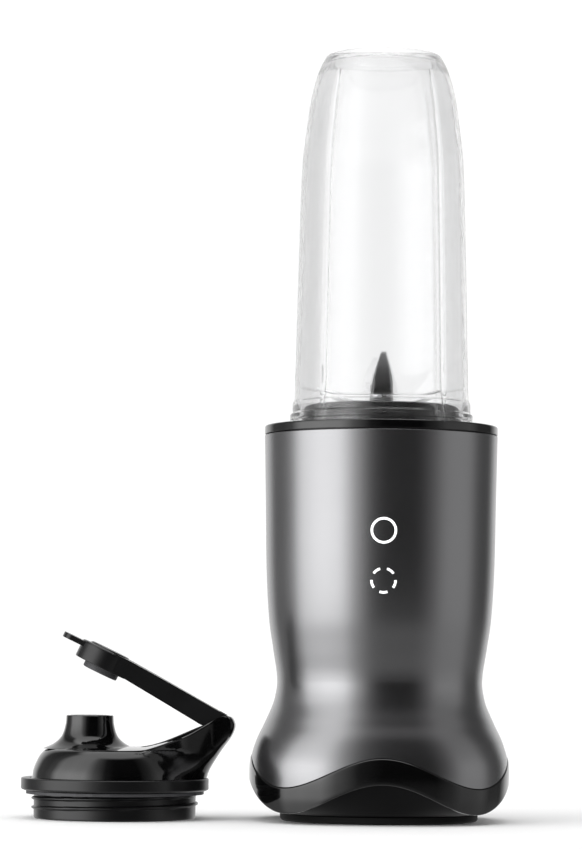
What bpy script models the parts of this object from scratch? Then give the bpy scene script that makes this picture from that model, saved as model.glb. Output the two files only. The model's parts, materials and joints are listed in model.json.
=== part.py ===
"""A personal blender: motor base, upturned clear cup on its blade holder, and a flip-top travel lid beside it.

Units are metres, +Z is up, -Y is the front with the light rings, and the origin is the centre of the
foot pad's underside. Angles in this file are in degrees, counted from +X towards +Y.
"""

import math

import bmesh
import bpy
from mathutils import Matrix, Vector

# ---- driving dimensions ----
GAP = 0.0003                # between pieces that touch
FINE, ROUND, COARSE = 48, 32, 20     # sides of the base, of other large round pieces, of small ones

FOOT_RADIUS, FOOT_HEIGHT = 0.055, 0.004
HOUSING_TOP = 0.2144
COLLAR_TOP, COLLAR_RADIUS = 0.2195, 0.0654
WALL = 0.0025               # housing wall
LOBE = 0.05                 # how far the base's four lobes stand out, as a share of its radius
WAIST_HEIGHT, LOBE_HEIGHT = 0.0774, 0.030    # the lobes grow from the first down to the second
SEAM_MEAN, SEAM_WAVE = 0.0262, 0.0078        # the wavy seam between housing and trim
EDGE_MEAN, EDGE_WAVE = 0.01265, 0.00835      # the trim's wavy lower edge
COVER_RISE = 0.006          # how far the bottom cover's wall reaches up behind the housing
BASE_OUTLINE = (            # (height, radius) of the base at its front, back and sides
    (0.0043, 0.0698), (0.0146, 0.0714), (0.0314, 0.0718), (0.0438, 0.0686), (0.0550, 0.0634),
    (0.0660, 0.0589), (WAIST_HEIGHT, 0.0572), (0.0940, 0.0595), (0.1110, 0.0620), (0.1390, 0.0637),
    (0.1780, 0.0645), (0.2195, 0.0654))

WELL_FLOOR, WELL_LEDGE = 0.1780, 0.1957      # upper faces of the cup well's floor and of its ledge
WELL_RADIUS, WELL_LOWER_RADIUS = 0.0548, 0.0455
RING_INNER, RING_OUTER, RING_TOP = 0.0514, 0.0543, 0.2142
LUG_ANGLES = (30, 150, 270)
LUG_REACH, LUG_LOW, LUG_HIGH = 0.0540, 0.2075, 0.2142
TWIST = 15                  # degrees from the cup's entry position to its locked position
PLUNGER_TRAVEL = 0.003
PLUNGER_PLACE = (0.0, 0.0529)

MOUTH_RADIUS, CUP_RIM, CUP_TOP = 0.0508, 0.2055, 0.4310
CUP_WALL = 0.003
CUP_OUTLINE = (             # (height, outer radius)
    (0.2335, 0.0490), (0.2790, 0.0480), (0.3470, 0.0464), (0.3720, 0.0453), (0.3890, 0.0432),
    (0.4040, 0.0412), (0.4170, 0.0379), (0.4240, 0.0353), (0.4285, 0.0325))
THREAD_RIDGE, THREAD_CORE = 0.0463, 0.0450   # male threads of the blade holder and of the travel lid
HOLDER_FLOOR = 0.2310

COUPLING_RADIUS, TOOTH_ANGLE, TEETH = 0.0130, 18, 6
MOTOR_SHAFT_RADIUS, BLADE_SHAFT_RADIUS = 0.0040, 0.0035
CORE_LOW, CORE_HIGH, CORE_RADIUS = 0.095, 0.127, 0.0235
CAN_RADIUS, CAN_WALL = 0.0426, 0.0020
BRUSH_HEIGHT = 0.0760
POST_PLACES = [Vector((0.036 * math.cos(math.radians(a)), 0.036 * math.sin(math.radians(a)), 0)) for a in
               (30, 150, 270)]

RING_ICON_RADIUS, RING_ICON_STROKE = 0.0065, 0.0013
START_HEIGHT, PULSE_HEIGHT = 0.159, 0.132
DASH_ANGLES, DASH_SPAN = (270, 342, 54, 126, 198), 38

LID_X = -0.147              # centre of the travel lid
LID_SKIRT_INNER = 0.0420
LID_FLANGE_LOW, LID_FLANGE_TOP, LID_FLANGE_RADIUS = 0.0163, 0.0230, 0.0522
SPOUT_X, SPOUT_TOP, SPOUT_RADIUS, SPOUT_BORE = LID_X - 0.0144, 0.057, 0.0131, 0.0110
HINGE_X, HINGE_Z = LID_X + 0.0610, 0.053
TAIL_HALF_WIDTH, BED_HALF_WIDTH, ARM_HALF_WIDTH = 0.0120, 0.0076, 0.0101
ARM_REST_ANGLE = 25.5       # how far the flip arm stands open
ARM_LENGTH = 0.103


# ---- collections and materials ----
def new_collection(name):
    collection = bpy.data.collections.new(name)
    bpy.context.scene.collection.children.link(collection)
    return collection


def finish(name, colour, roughness, metallic=0.0, alpha=1.0):
    material = bpy.data.materials.new(name)
    material.use_nodes = True
    shader = material.node_tree.nodes["Principled BSDF"]
    shader.inputs["Base Color"].default_value = (*colour, 1.0)
    shader.inputs["Roughness"].default_value = roughness
    shader.inputs["Metallic"].default_value = metallic
    shader.inputs["Alpha"].default_value = alpha
    return material


for old_object in list(bpy.data.objects):
    bpy.data.objects.remove(old_object)
parts = new_collection("personal_blender")
cutters = new_collection("cutters")
cutters.hide_render = True

graphite = finish("graphite_paint", (0.10, 0.10, 0.105), 0.32, 0.75)
gloss_black = finish("gloss_black", (0.012, 0.012, 0.013), 0.12)
satin_black = finish("satin_black", (0.022, 0.022, 0.023), 0.45)
clear = finish("clear_plastic", (0.93, 0.94, 0.94), 0.05, 0.0, 0.25)
soft_rubber = finish("soft_rubber", (0.03, 0.03, 0.03), 0.8)
silicone = finish("grey_silicone", (0.25, 0.25, 0.26), 0.6)
steel = finish("steel", (0.62, 0.62, 0.63), 0.28, 1.0)
laminations = finish("laminations", (0.30, 0.30, 0.31), 0.5, 0.9)
copper = finish("copper_wire", (0.62, 0.25, 0.10), 0.35, 0.9)
carbon = finish("carbon", (0.03, 0.03, 0.035), 0.7, 0.2)
cast_alloy = finish("cast_alloy", (0.55, 0.55, 0.56), 0.5, 0.9)
circuit = finish("circuit_board", (0.02, 0.12, 0.05), 0.5)
light_white = finish("light_white", (0.85, 0.86, 0.86), 0.3)
nylon = finish("nylon", (0.75, 0.74, 0.70), 0.5)


# ---- shape helpers ----
def place(name, mesh, material, collection=parts):
    mesh.materials.append(material)
    mesh.shade_smooth()
    obj = bpy.data.objects.new(name, mesh)
    collection.objects.link(obj)
    if collection is cutters:
        obj.hide_render = True
        obj.display_type = "WIRE"
    return obj


def from_bmesh(name, work, material, collection=parts):
    mesh = bpy.data.meshes.new(name)
    bmesh.ops.recalc_face_normals(work, faces=work.faces)
    work.to_mesh(mesh)
    work.free()
    obj = place(name, mesh, material, collection)
    mesh.set_sharp_from_angle(angle=math.radians(35))
    return obj


def turned(name, outline, material, sides=ROUND, collection=parts, centre=(0, 0, 0)):
    """A profile of (radius, height) spun about +Z. It runs from the inner top over the outside to the bottom."""
    mesh = bpy.data.meshes.new(name)
    on_axis = outline[0][0] == 0
    count = len(outline)
    edges = [(i, (i + 1) % count) for i in range(count - on_axis)]
    mesh.from_pydata([(radius, 0, height) for radius, height in outline], edges, [])
    obj = place(name, mesh, material, collection)
    screw = obj.modifiers.new("Turn", "SCREW")
    screw.steps = screw.render_steps = sides
    screw.use_merge_vertices = True
    screw.merge_threshold = 0.00001
    obj.location = centre
    return obj


def lofted(name, section, material, sides=FINE, collection=parts):
    """A closed ring of (radius, height) sections, where section(angle) may differ all the way round."""
    work = bmesh.new()
    rings = []
    for i in range(sides):
        angle = 360 * i / sides
        across = Matrix.Rotation(math.radians(angle), 4, "Z")
        rings.append([work.verts.new(across @ Vector((radius, 0, height))) for radius, height in section(angle)])
    for i, ring in enumerate(rings):
        following = rings[(i + 1) % sides]
        for j in range(len(ring)):
            k = (j + 1) % len(ring)
            if ring[j].co.xy.length < 1e-6 and ring[k].co.xy.length < 1e-6:
                continue
            work.faces.new((ring[j], following[j], following[k], ring[k]))
    bmesh.ops.remove_doubles(work, verts=work.verts, dist=1e-6)
    return from_bmesh(name, work, material, collection)


def block(name, low, high, material, collection=parts):
    work = bmesh.new()
    bmesh.ops.create_cube(work, size=1.0)
    size = Vector(high) - Vector(low)
    middle = (Vector(high) + Vector(low)) / 2
    bmesh.ops.scale(work, vec=size, verts=work.verts)
    bmesh.ops.translate(work, vec=middle, verts=work.verts)
    return from_bmesh(name, work, material, collection)


def rod(name, radius, start, end, material, collection=parts, sides=16):
    along = Vector(end) - Vector(start)
    work = bmesh.new()
    bmesh.ops.create_cone(work, cap_ends=True, segments=sides, radius1=radius, radius2=radius, depth=along.length)
    obj = from_bmesh(name, work, material, collection)
    obj.location = (Vector(start) + Vector(end)) / 2
    obj.rotation_mode = "QUATERNION"
    obj.rotation_quaternion = along.to_track_quat("Z", "Y")
    return obj


def sectors(name, inner, outer, low, high, angles, span, material=satin_black, collection=cutters):
    """Separate blocks between two radii and two heights, one about each angle."""
    work = bmesh.new()
    steps = 3
    for middle in angles:
        faces = []
        for i in range(steps + 1):
            angle = math.radians(middle - span / 2 + span * i / steps)
            across = Vector((math.cos(angle), math.sin(angle), 0))
            corners = (across * inner + Vector((0, 0, low)), across * outer + Vector((0, 0, low)),
                       across * outer + Vector((0, 0, high)), across * inner + Vector((0, 0, high)))
            faces.append([work.verts.new(corner) for corner in corners])
        for before, after in zip(faces, faces[1:]):
            for j in range(4):
                k = (j + 1) % 4
                work.faces.new((before[j], after[j], after[k], before[k]))
        work.faces.new(faces[0])
        work.faces.new(faces[-1])
    return from_bmesh(name, work, material, collection)


def as_mesh(curve_object, material, collection):
    """The curve's solid as a welded mesh object in the same place."""
    bpy.context.view_layer.update()
    graph = bpy.context.evaluated_depsgraph_get()
    mesh = bpy.data.meshes.new_from_object(curve_object.evaluated_get(graph))
    name = curve_object.name
    matrix = curve_object.matrix_world.copy()
    bpy.data.objects.remove(curve_object)
    work = bmesh.new()
    work.from_mesh(mesh)
    bmesh.ops.remove_doubles(work, verts=work.verts, dist=1e-6)
    obj = from_bmesh(name, work, material, collection)
    obj.data.materials.clear()
    obj.data.materials.append(material)
    obj.name = name
    obj.matrix_world = matrix
    return obj


def sheet_cut(name, outlines, low, high, material, collection=parts, upright=False, centre=(0, 0, 0)):
    """A flat outline with its holes, made thick. Upright outlines lie in XZ and run from low to high along Y."""
    curve = bpy.data.curves.new(name, "CURVE")
    curve.dimensions = "2D"
    curve.fill_mode = "BOTH"
    curve.extrude = (high - low) / 2
    for outline in outlines:
        spline = curve.splines.new("POLY")
        spline.points.add(len(outline) - 1)
        for point, (across, along) in zip(spline.points, outline):
            point.co = (across, along, 0, 1)
        spline.use_cyclic_u = True
    obj = bpy.data.objects.new(name, curve)
    parts.objects.link(obj)
    middle = (low + high) / 2
    if upright:
        obj.matrix_world = Matrix.Translation(Vector(centre) + Vector((0, middle, 0))) @ Matrix.Rotation(
            math.pi / 2, 4, "X")
    else:
        obj.matrix_world = Matrix.Translation(Vector(centre) + Vector((0, 0, middle)))
    return as_mesh(obj, material, collection)


def wire(name, points, radius, material, cyclic=False, roundness=1):
    curve = bpy.data.curves.new(name, "CURVE")
    curve.dimensions = "3D"
    curve.bevel_depth = radius
    curve.bevel_resolution = roundness
    curve.use_fill_caps = not cyclic
    spline = curve.splines.new("POLY")
    spline.points.add(len(points) - 1)
    for point, where in zip(spline.points, points):
        point.co = (*where, 1)
    spline.use_cyclic_u = cyclic
    obj = bpy.data.objects.new(name, curve)
    parts.objects.link(obj)
    return as_mesh(obj, material, parts)


def coil(name, start, end, radius, wire_radius, turns, material):
    """A helical spring with its axis from start to end."""
    start, end = Vector(start), Vector(end)
    turn = (end - start).to_track_quat("Z", "Y")
    per_turn = 7
    count = turns * per_turn + 1
    points = []
    for i in range(count):
        angle = 2 * math.pi * i / per_turn
        rise = (end - start).length * i / (count - 1)
        points.append(start + turn @ Vector((radius * math.cos(angle), radius * math.sin(angle), rise)))
    return wire(name, points, wire_radius, material, roundness=0)


def boolean(target, tool, operation):
    change = target.modifiers.new(tool.name, "BOOLEAN")
    change.operation = operation
    change.solver = "EXACT"
    change.object = tool


def cut(target, *tools):
    for tool in tools:
        boolean(target, tool, "DIFFERENCE")


def join(target, *tools):
    for tool in tools:
        boolean(target, tool, "UNION")


def circle(radius, sides, centre=(0, 0)):
    return [(centre[0] + radius * math.cos(2 * math.pi * i / sides),
             centre[1] + radius * math.sin(2 * math.pi * i / sides)) for i in range(sides)]


def toothed(count, root, tip, share):
    """The outline of a disc with square teeth, each taking a share of its pitch."""
    pitch = 2 * math.pi / count
    corners = ((-share / 2, root), (-share / 2, tip), (share / 2, tip), (share / 2, root))
    return [(radius * math.cos(pitch * (i + turn)), radius * math.sin(pitch * (i + turn)))
            for i in range(count) for turn, radius in corners]


def smooth_curve(keys):
    """A function through (position, value) keys, as a cubic Hermite spline."""
    def slope(i):
        before, after = keys[max(i - 1, 0)], keys[min(i + 1, len(keys) - 1)]
        return (after[1] - before[1]) / (after[0] - before[0])

    def value(position):
        position = min(max(position, keys[0][0]), keys[-1][0])
        i = max(j for j in range(len(keys) - 1) if keys[j][0] <= position)
        (x0, y0), (x1, y1) = keys[i], keys[i + 1]
        width = x1 - x0
        t = (position - x0) / width
        return ((2 * t**3 - 3 * t**2 + 1) * y0 + (t**3 - 2 * t**2 + t) * width * slope(i)
                + (3 * t**2 - 2 * t**3) * y1 + (t**3 - t**2) * width * slope(i + 1))
    return value


# ---- the base's outer form ----
base_profile = smooth_curve(BASE_OUTLINE)
cup_profile = smooth_curve(CUP_OUTLINE)


def base_radius(height, angle):
    share = min(max((WAIST_HEIGHT - height) / (WAIST_HEIGHT - LOBE_HEIGHT), 0), 1)
    growth = share * share * (3 - 2 * share)
    return base_profile(height) * (1 + LOBE * growth * math.sin(math.radians(2 * angle)) ** 2)


def seam(angle):
    return SEAM_MEAN + SEAM_WAVE * math.cos(math.radians(4 * angle))


def trim_edge(angle):
    return EDGE_MEAN + EDGE_WAVE * math.cos(math.radians(4 * angle))


def between(low, high, steps):
    return [low + (high - low) * i / steps for i in range(steps + 1)]


# ---- motor base: shells ----
def make_foot_pad():
    turned("foot_pad", [(0, FOOT_HEIGHT), (FOOT_RADIUS, FOOT_HEIGHT), (FOOT_RADIUS, 0.001),
                        (FOOT_RADIUS - 0.001, 0), (0, 0)], soft_rubber)


def bottom_cover_section(angle):
    inset, wall = WALL + 2 * GAP, 0.002
    under, floor = FOOT_HEIGHT + GAP, 0.0073
    low, top = trim_edge(angle) + 0.0012, seam(angle) + COVER_RISE
    middle = (low + top) / 2
    outer = [(base_radius(z, angle) - inset, z) for z in (top, middle, low)]
    inner = [(base_radius(z, angle) - inset - wall, z) for z in (low + 0.0025, middle, top)]
    return [(0, floor), (0.052, floor), *inner, *outer, (0.056, under), (0, under)]


def make_bottom_cover():
    cover = lofted("bottom_cover", bottom_cover_section, satin_black)
    for i, at in enumerate(POST_PLACES):
        post = rod(f"post_shape_{i}", 0.007, at + Vector((0, 0, 0.006)), at + Vector((0, 0, 0.030)), satin_black,
                   cutters)
        bore = rod(f"post_bore_{i}", 0.0023, at + Vector((0, 0, 0.002)), at + Vector((0, 0, 0.020)), satin_black,
                   cutters, 12)
        sink = rod(f"post_sink_{i}", 0.0044, at + Vector((0, 0, 0.002)), at + Vector((0, 0, 0.0066)), satin_black,
                   cutters, 12)
        join(cover, post)
        cut(cover, bore, sink)
        screw = turned(f"bottom_screw_{i + 1}", [(0, 0.0180), (0.0020, 0.0180), (0.0020, 0.0063), (0.0040, 0.0063),
                                                 (0.0040, 0.0047), (0, 0.0047)], steel, 12)
        screw.location = at
        rod(f"motor_mount_{i + 1}", 0.006, at + Vector((0, 0, 0.0303)), at + Vector((0, 0, 0.0400)), soft_rubber)
    gland_height = 0.0125
    cut(cover, rod("gland_hole", 0.0050, (0, 0.045, gland_height), (0, 0.080, gland_height), satin_black, cutters))
    gland = turned("cord_gland", [(0.0036, 0.069), (0.0054, 0.069), (0.0054, 0.0665), (0.0046, 0.0650),
                                  (0.0046, 0.0500), (0.0036, 0.0500)], soft_rubber, 16)
    gland.rotation_euler = (-math.pi / 2, 0, 0)
    gland.location = (0, 0, gland_height)


def base_trim_section(angle):
    thick = 0.0022
    low, top = trim_edge(angle), seam(angle) - 0.0004
    heights = between(low + 0.0006, top - 0.0005, 2)
    outer = [(base_radius(z, angle), z) for z in reversed(heights)]
    inner_top, inner_low = base_radius(top, angle) - thick, base_radius(low, angle) - thick
    return [(inner_top, top), (base_radius(top, angle) - 0.0005, top), *outer,
            (base_radius(low, angle) - 0.0006, low), (inner_low, low)]


def housing_section(angle):
    low = seam(angle)
    over_cover = low + COVER_RISE
    outer = between(HOUSING_TOP, 0.094, 3) + [WAIST_HEIGHT, 0.062, 0.050, over_cover, low]
    inner = [low, over_cover, 0.050, 0.062, WAIST_HEIGHT, 0.105, HOUSING_TOP]
    return ([(base_radius(z, angle), z) for z in outer] + [(base_radius(z, angle) - WALL, z) for z in inner])


def make_outer_housing():
    housing = lofted("outer_housing", housing_section, graphite)
    wider = RING_ICON_STROKE / 2 + GAP
    start_face = -base_radius(START_HEIGHT, 270)
    cut(housing, sheet_cut("start_groove", [circle(RING_ICON_RADIUS + wider, 32), circle(RING_ICON_RADIUS - wider, 32)],
                           start_face - 0.002, start_face + 0.0015, graphite, cutters, True, (0, 0, START_HEIGHT)))
    sheet_cut("start_light_ring", [circle(RING_ICON_RADIUS + RING_ICON_STROKE / 2, 32),
                                   circle(RING_ICON_RADIUS - RING_ICON_STROKE / 2, 32)],
              start_face + 0.0001, start_face + 0.0012, light_white, parts, True, (0, 0, START_HEIGHT))
    pulse_face = -base_radius(PULSE_HEIGHT, 270)
    for i, angle in enumerate(DASH_ANGLES):
        cut(housing, sheet_cut(f"dash_groove_{i + 1}", [arc_band(angle, DASH_SPAN + 5, wider)], pulse_face - 0.002,
                               pulse_face + 0.0015, graphite, cutters, True, (0, 0, PULSE_HEIGHT)))
        sheet_cut(f"pulse_light_dash_{i + 1}", [arc_band(angle, DASH_SPAN, RING_ICON_STROKE / 2)],
                  pulse_face + 0.0001, pulse_face + 0.0012, light_white, parts, True, (0, 0, PULSE_HEIGHT))


def arc_band(angle, span, half_width):
    """The outline of a dash of the pulse icon, about the icon's centre."""
    steps = [math.radians(a) for a in between(angle - span / 2, angle + span / 2, 4)]
    outer, inner = RING_ICON_RADIUS + half_width, RING_ICON_RADIUS - half_width
    return ([(outer * math.cos(a), outer * math.sin(a)) for a in steps]
            + [(inner * math.cos(a), inner * math.sin(a)) for a in reversed(steps)])


def make_top_collar():
    lip, skirt_outer, skirt_inner = 0.0518, 0.0624, 0.0604
    collar = turned("top_collar", [
        (lip, COLLAR_TOP), (COLLAR_RADIUS - 0.0008, COLLAR_TOP), (COLLAR_RADIUS, COLLAR_TOP - 0.0007),
        (COLLAR_RADIUS, HOUSING_TOP + GAP), (skirt_outer, HOUSING_TOP + GAP), (skirt_outer, 0.2080),
        (skirt_inner, 0.2080), (skirt_inner, 0.2150), (lip, 0.2150)], gloss_black)
    cut(collar, sectors("lug_slots", 0.0505, LUG_REACH + 0.0006, 0.2130, 0.2215, LUG_ANGLES, 14))


def make_cup_well():
    well = turned("cup_well", [
        (WELL_RADIUS, 0.2146), (0.0601, 0.2146), (0.0601, 0.2124), (0.0570, 0.2124), (0.0570, 0.1932),
        (0.0477, 0.1932), (0.0477, 0.1755), (0.0150, 0.1755), (0.0150, 0.1840), (0.0170, 0.1840),
        (0.0170, WELL_FLOOR), (WELL_LOWER_RADIUS, WELL_FLOOR), (WELL_LOWER_RADIUS, WELL_LEDGE),
        (WELL_RADIUS, WELL_LEDGE)], satin_black)
    cut(well, rod("plunger_hole", 0.0016, (*PLUNGER_PLACE, 0.190), (*PLUNGER_PLACE, 0.198), satin_black, cutters, 12))


# ---- motor base: interlock ----
def ring_section(angle):
    """The underside rises into a helical ramp over the plunger, which the turning ring pushes down."""
    from_plunger = (angle - 90 + 180) % 360 - 180
    if -TWIST <= from_plunger <= 0:
        depth = PLUNGER_TRAVEL * (1 + from_plunger / TWIST)
    else:
        depth = PLUNGER_TRAVEL if 0 < from_plunger <= 7.5 else 0
    low = WELL_LEDGE + GAP + depth
    return [(RING_INNER, RING_TOP), (RING_OUTER, RING_TOP), (RING_OUTER, low), (RING_INNER, low)]


def make_interlock():
    ring = lofted("interlock_ring", ring_section, nylon)
    cut(ring, sectors("lug_pockets", 0.0500, 0.0560, LUG_LOW - GAP, 0.2160, LUG_ANGLES, 13.2))
    tip = WELL_LEDGE + PLUNGER_TRAVEL - 0.0002
    turned("interlock_plunger", [
        (0, tip), (0.0004, tip), (0.0012, tip - 0.0008), (0.0012, 0.1865), (0.0030, 0.1865), (0.0030, 0.1850),
        (0.0012, 0.1850), (0.0012, 0.1600), (0, 0.1600)], nylon, 12, parts, (*PLUNGER_PLACE, 0))
    switch = block("interlock_switch", (-0.006, 0.0475, 0.1500), (0.006, 0.0585, 0.1680), satin_black)
    cut(switch, rod("switch_bore", 0.0016, (*PLUNGER_PLACE, 0.1560), (*PLUNGER_PLACE, 0.1700), satin_black, cutters,
                    12))
    coil("plunger_spring", (*PLUNGER_PLACE, 0.1688), (*PLUNGER_PLACE, 0.1842), 0.0023, 0.00035, 3, steel)


# ---- motor base: motor and boards ----
def make_motor_case():
    outer = CAN_RADIUS + CAN_WALL
    turned("lower_motor_bracket", [
        (CAN_RADIUS, 0.1100), (outer, 0.1100), (outer, 0.0413), (outer - 0.001, 0.0403), (0.0065, 0.0403),
        (0.0065, 0.0434), (0.0113, 0.0434), (0.0113, 0.0530), (0.0138, 0.0530), (0.0138, 0.0434),
        (CAN_RADIUS, 0.0434)], cast_alloy, 24)
    turned("upper_motor_bracket", [
        (0.0113, 0.1520), (outer - 0.001, 0.1520), (outer, 0.1510), (outer, 0.1103), (CAN_RADIUS, 0.1103),
        (CAN_RADIUS, 0.1490), (0.0138, 0.1490), (0.0138, 0.1415), (0.0065, 0.1415), (0.0065, 0.1440),
        (0.0113, 0.1440)], cast_alloy, 24)
    for name, low in (("lower_bearing", 0.0437), ("upper_bearing", 0.1443)):
        turned(name, [(0.0043, low + 0.008), (0.0110, low + 0.008), (0.0110, low), (0.0043, low)], steel, COARSE)


def stator_outline():
    """The inner outline of the stator: two poles, front and back, reach in from the yoke."""
    points = []
    for i in range(72):
        angle = 5 * i
        from_pole = abs((angle - 90 + 90) % 180 - 90)
        radius = 0.0245 if from_pole < 33 else 0.0380
        points.append((radius * math.cos(math.radians(angle)), radius * math.sin(math.radians(angle))))
    return points


def make_stator():
    sheet_cut("stator_core", [circle(0.0420, FINE), stator_outline()], CORE_LOW, CORE_HIGH, laminations)
    for name, middle in (("field_coil_back", 90), ("field_coil_front", 270)):
        arc = [math.radians(a) for a in between(middle - 45, middle + 45, 4)]
        over, under = CORE_HIGH + 0.005, CORE_LOW - 0.005
        points = [(0.031 * math.cos(a), 0.031 * math.sin(a), over) for a in arc]
        points += [(0.031 * math.cos(a), 0.031 * math.sin(a), under) for a in reversed(arc)]
        wire(name, points, 0.0045, copper, True, 2)


def make_brushes():
    for side, name in ((1, "right"), (-1, "left")):
        def span(near, far, half, name_of, material, collection=parts):
            low, high = sorted((side * near, side * far))
            return block(name_of, (low, -half, BRUSH_HEIGHT - half), (high, half, BRUSH_HEIGHT + half), material,
                         collection)
        holder = span(0.0140, 0.0415, 0.0046, f"brush_holder_{name}", satin_black)
        cut(holder, span(0.0120, 0.0395, 0.0031, f"brush_slot_{name}", satin_black, cutters))
        span(0.0116, 0.0240, 0.0027, f"carbon_brush_{name}", carbon)
        coil(f"brush_spring_{name}", (side * 0.0247, 0, BRUSH_HEIGHT), (side * 0.0387, 0, BRUSH_HEIGHT), 0.0020,
             0.00035, 3, steel)


def make_boards():
    touch = block("touch_board", (-0.010, -0.0572, 0.120), (0.010, -0.0556, 0.172), circuit)
    join(touch, block("touch_chip", (-0.004, -0.0562, 0.141), (0.004, -0.0541, 0.149), circuit, cutters))
    power = block("power_board", (-0.018, 0.0505, 0.092), (0.018, 0.0521, 0.140), circuit)
    join(power, block("power_capacitor", (-0.014, 0.0463, 0.112), (-0.001, 0.0510, 0.130), circuit, cutters),
         block("power_relay", (0.003, 0.0470, 0.100), (0.014, 0.0510, 0.116), circuit, cutters))


# ---- rotor ----
def make_rotor():
    radius = MOTOR_SHAFT_RADIUS
    bore = radius + GAP
    turned("motor_shaft", [(0, 0.1820), (radius - 0.0005, 0.1820), (radius, 0.1815), (radius, 0.0445),
                           (radius - 0.0005, 0.0440), (0, 0.0440)], steel, 16)
    sheet_cut("armature_core", [toothed(8, 0.0150, CORE_RADIUS, 0.72), circle(bore, 16)], CORE_LOW, CORE_HIGH,
              laminations)
    windings = turned("armature_windings", [(0.0070, 0.1345), (0.0190, 0.1345), (0.0215, 0.1320), (0.0215, 0.1273),
                                            (0.0070, 0.1273)], copper, COARSE)
    lower = turned("lower_winding", [(0.0070, 0.0947), (0.0215, 0.0947), (0.0215, 0.0900), (0.0190, 0.0880),
                                     (0.0070, 0.0880)], copper, COARSE, cutters)
    slots = [360 * (i + 0.5) / 8 for i in range(8)]
    join(windings, lower, sectors("slot_windings", 0.0160, 0.0205, 0.0930, 0.1290, slots, 8.5))
    sheet_cut("commutator", [toothed(16, 0.0103, 0.0110, 0.8), circle(bore, 16)], 0.0690, 0.0835, copper)
    blades = 9
    outline = []
    for i in range(blades):
        for radius_here, turn in ((0.012, 0), (0.024, 7), (0.036, 18), (0.036, 22), (0.025, 13), (0.012, 10)):
            angle = math.radians(360 * i / blades + turn)
            outline.append((radius_here * math.cos(angle), radius_here * math.sin(angle)))
    sheet_cut("cooling_fan", [outline, circle(bore, 16)], 0.0560, 0.0660, nylon)
    coupling = turned("drive_coupling", [
        (bore, 0.1833), (COUPLING_RADIUS, 0.1833), (COUPLING_RADIUS, 0.1720), (0.0090, 0.1700), (0.0090, 0.1640),
        (bore, 0.1640)], nylon, COARSE)
    pitch = 360 / TEETH
    join(coupling, sectors("drive_teeth", 0.0075, 0.0124, 0.1815, 0.1888, [pitch * i for i in range(TEETH)],
                           TOOTH_ANGLE))


# ---- blade unit ----
def make_blade_unit():
    core, ridge = THREAD_CORE, THREAD_RIDGE
    turned("blade_holder", [
        (0.0072, HOLDER_FLOOR), (core - 0.0015, HOLDER_FLOOR), (core, HOLDER_FLOOR - 0.0015), (core, 0.2195),
        (ridge, 0.2185), (ridge, 0.2175), (core, 0.2165), (core, 0.2125), (ridge, 0.2115), (ridge, 0.2105),
        (core, 0.2095), (core, 0.2030), (0.0500, 0.2030), (0.0500, 0.1992), (0.0415, 0.1992), (0.0415, 0.2275),
        (0.0140, 0.2275), (0.0140, 0.2000), (0.0072, 0.2000)], gloss_black)
    turned("holder_gasket", [(0.0454, 0.2052), (0.0500, 0.2052), (0.0500, 0.2033), (0.0454, 0.2033)], silicone)
    bore = BLADE_SHAFT_RADIUS + GAP
    turned("blade_bearing", [(bore, 0.2240), (0.0068, 0.2240), (0.0068, 0.2030), (bore, 0.2030)], cast_alloy, COARSE)
    turned("blade_shaft_seal", [(bore, 0.2307), (0.0068, 0.2307), (0.0068, 0.2245), (bore, 0.2245)], soft_rubber,
           COARSE)


def blade_strip(name, path, half_widths, bore, turn):
    """A bent blade: a strip along a path of (distance from the shaft, height), mirrored to the other side."""
    work = bmesh.new()
    rows = []
    stations = [(-reach, height, width) for (reach, height), width in zip(reversed(path), reversed(half_widths))]
    stations += [(reach, height, width) for (reach, height), width in zip(path, half_widths)]
    for reach, height, width in stations:
        rows.append([work.verts.new((reach, -width, height)), work.verts.new((reach, width, height))])
    for before, after in zip(rows, rows[1:]):
        work.faces.new((before[0], after[0], after[1], before[1]))
    blade = from_bmesh(name, work, steel)
    blade.rotation_euler = (0, 0, math.radians(turn))
    thick = blade.modifiers.new("Thickness", "SOLIDIFY")
    thick.thickness = 0.0012
    thick.offset = 1
    cut(blade, bore)


def make_blade_rotor():
    radius, bore = BLADE_SHAFT_RADIUS, BLADE_SHAFT_RADIUS + GAP
    turned("blade_shaft", [
        (0, 0.2450), (radius - 0.0005, 0.2450), (radius, 0.2445), (radius, 0.2347), (0.0065, 0.2347),
        (0.0065, 0.2315), (radius, 0.2315), (radius, 0.1870), (0, 0.1870)], steel, 16)
    blade_bore = rod("blade_bore", bore, (0, 0, 0.228), (0, 0, 0.250), steel, cutters, 16)
    blade_strip("lower_blade", [(0.007, 0.2351), (0.014, 0.2351), (0.024, 0.2370), (0.036, 0.2400)],
                [0.007, 0.0065, 0.0055, 0.0015], blade_bore, 0)
    blade_strip("upper_blade", [(0.007, 0.2367), (0.011, 0.2367), (0.022, 0.2460), (0.029, 0.2580)],
                [0.007, 0.0065, 0.0050, 0.0012], blade_bore, 90)
    sheet_cut("blade_nut", [circle(0.0064, 6), circle(bore, 16)], 0.2384, 0.2434, steel)
    coupling = turned("driven_coupling", [
        (bore, 0.1996), (0.0095, 0.1996), (COUPLING_RADIUS, 0.1975), (COUPLING_RADIUS, 0.1896), (bore, 0.1896)],
        nylon, COARSE)
    pitch = 360 / TEETH
    offset = TOOTH_ANGLE + (pitch - 2 * TOOTH_ANGLE - TWIST) / 2
    join(coupling, sectors("driven_teeth", 0.0075, 0.0124, 0.1838, 0.1910,
                           [pitch * i + offset for i in range(TEETH)], TOOTH_ANGLE))


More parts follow.
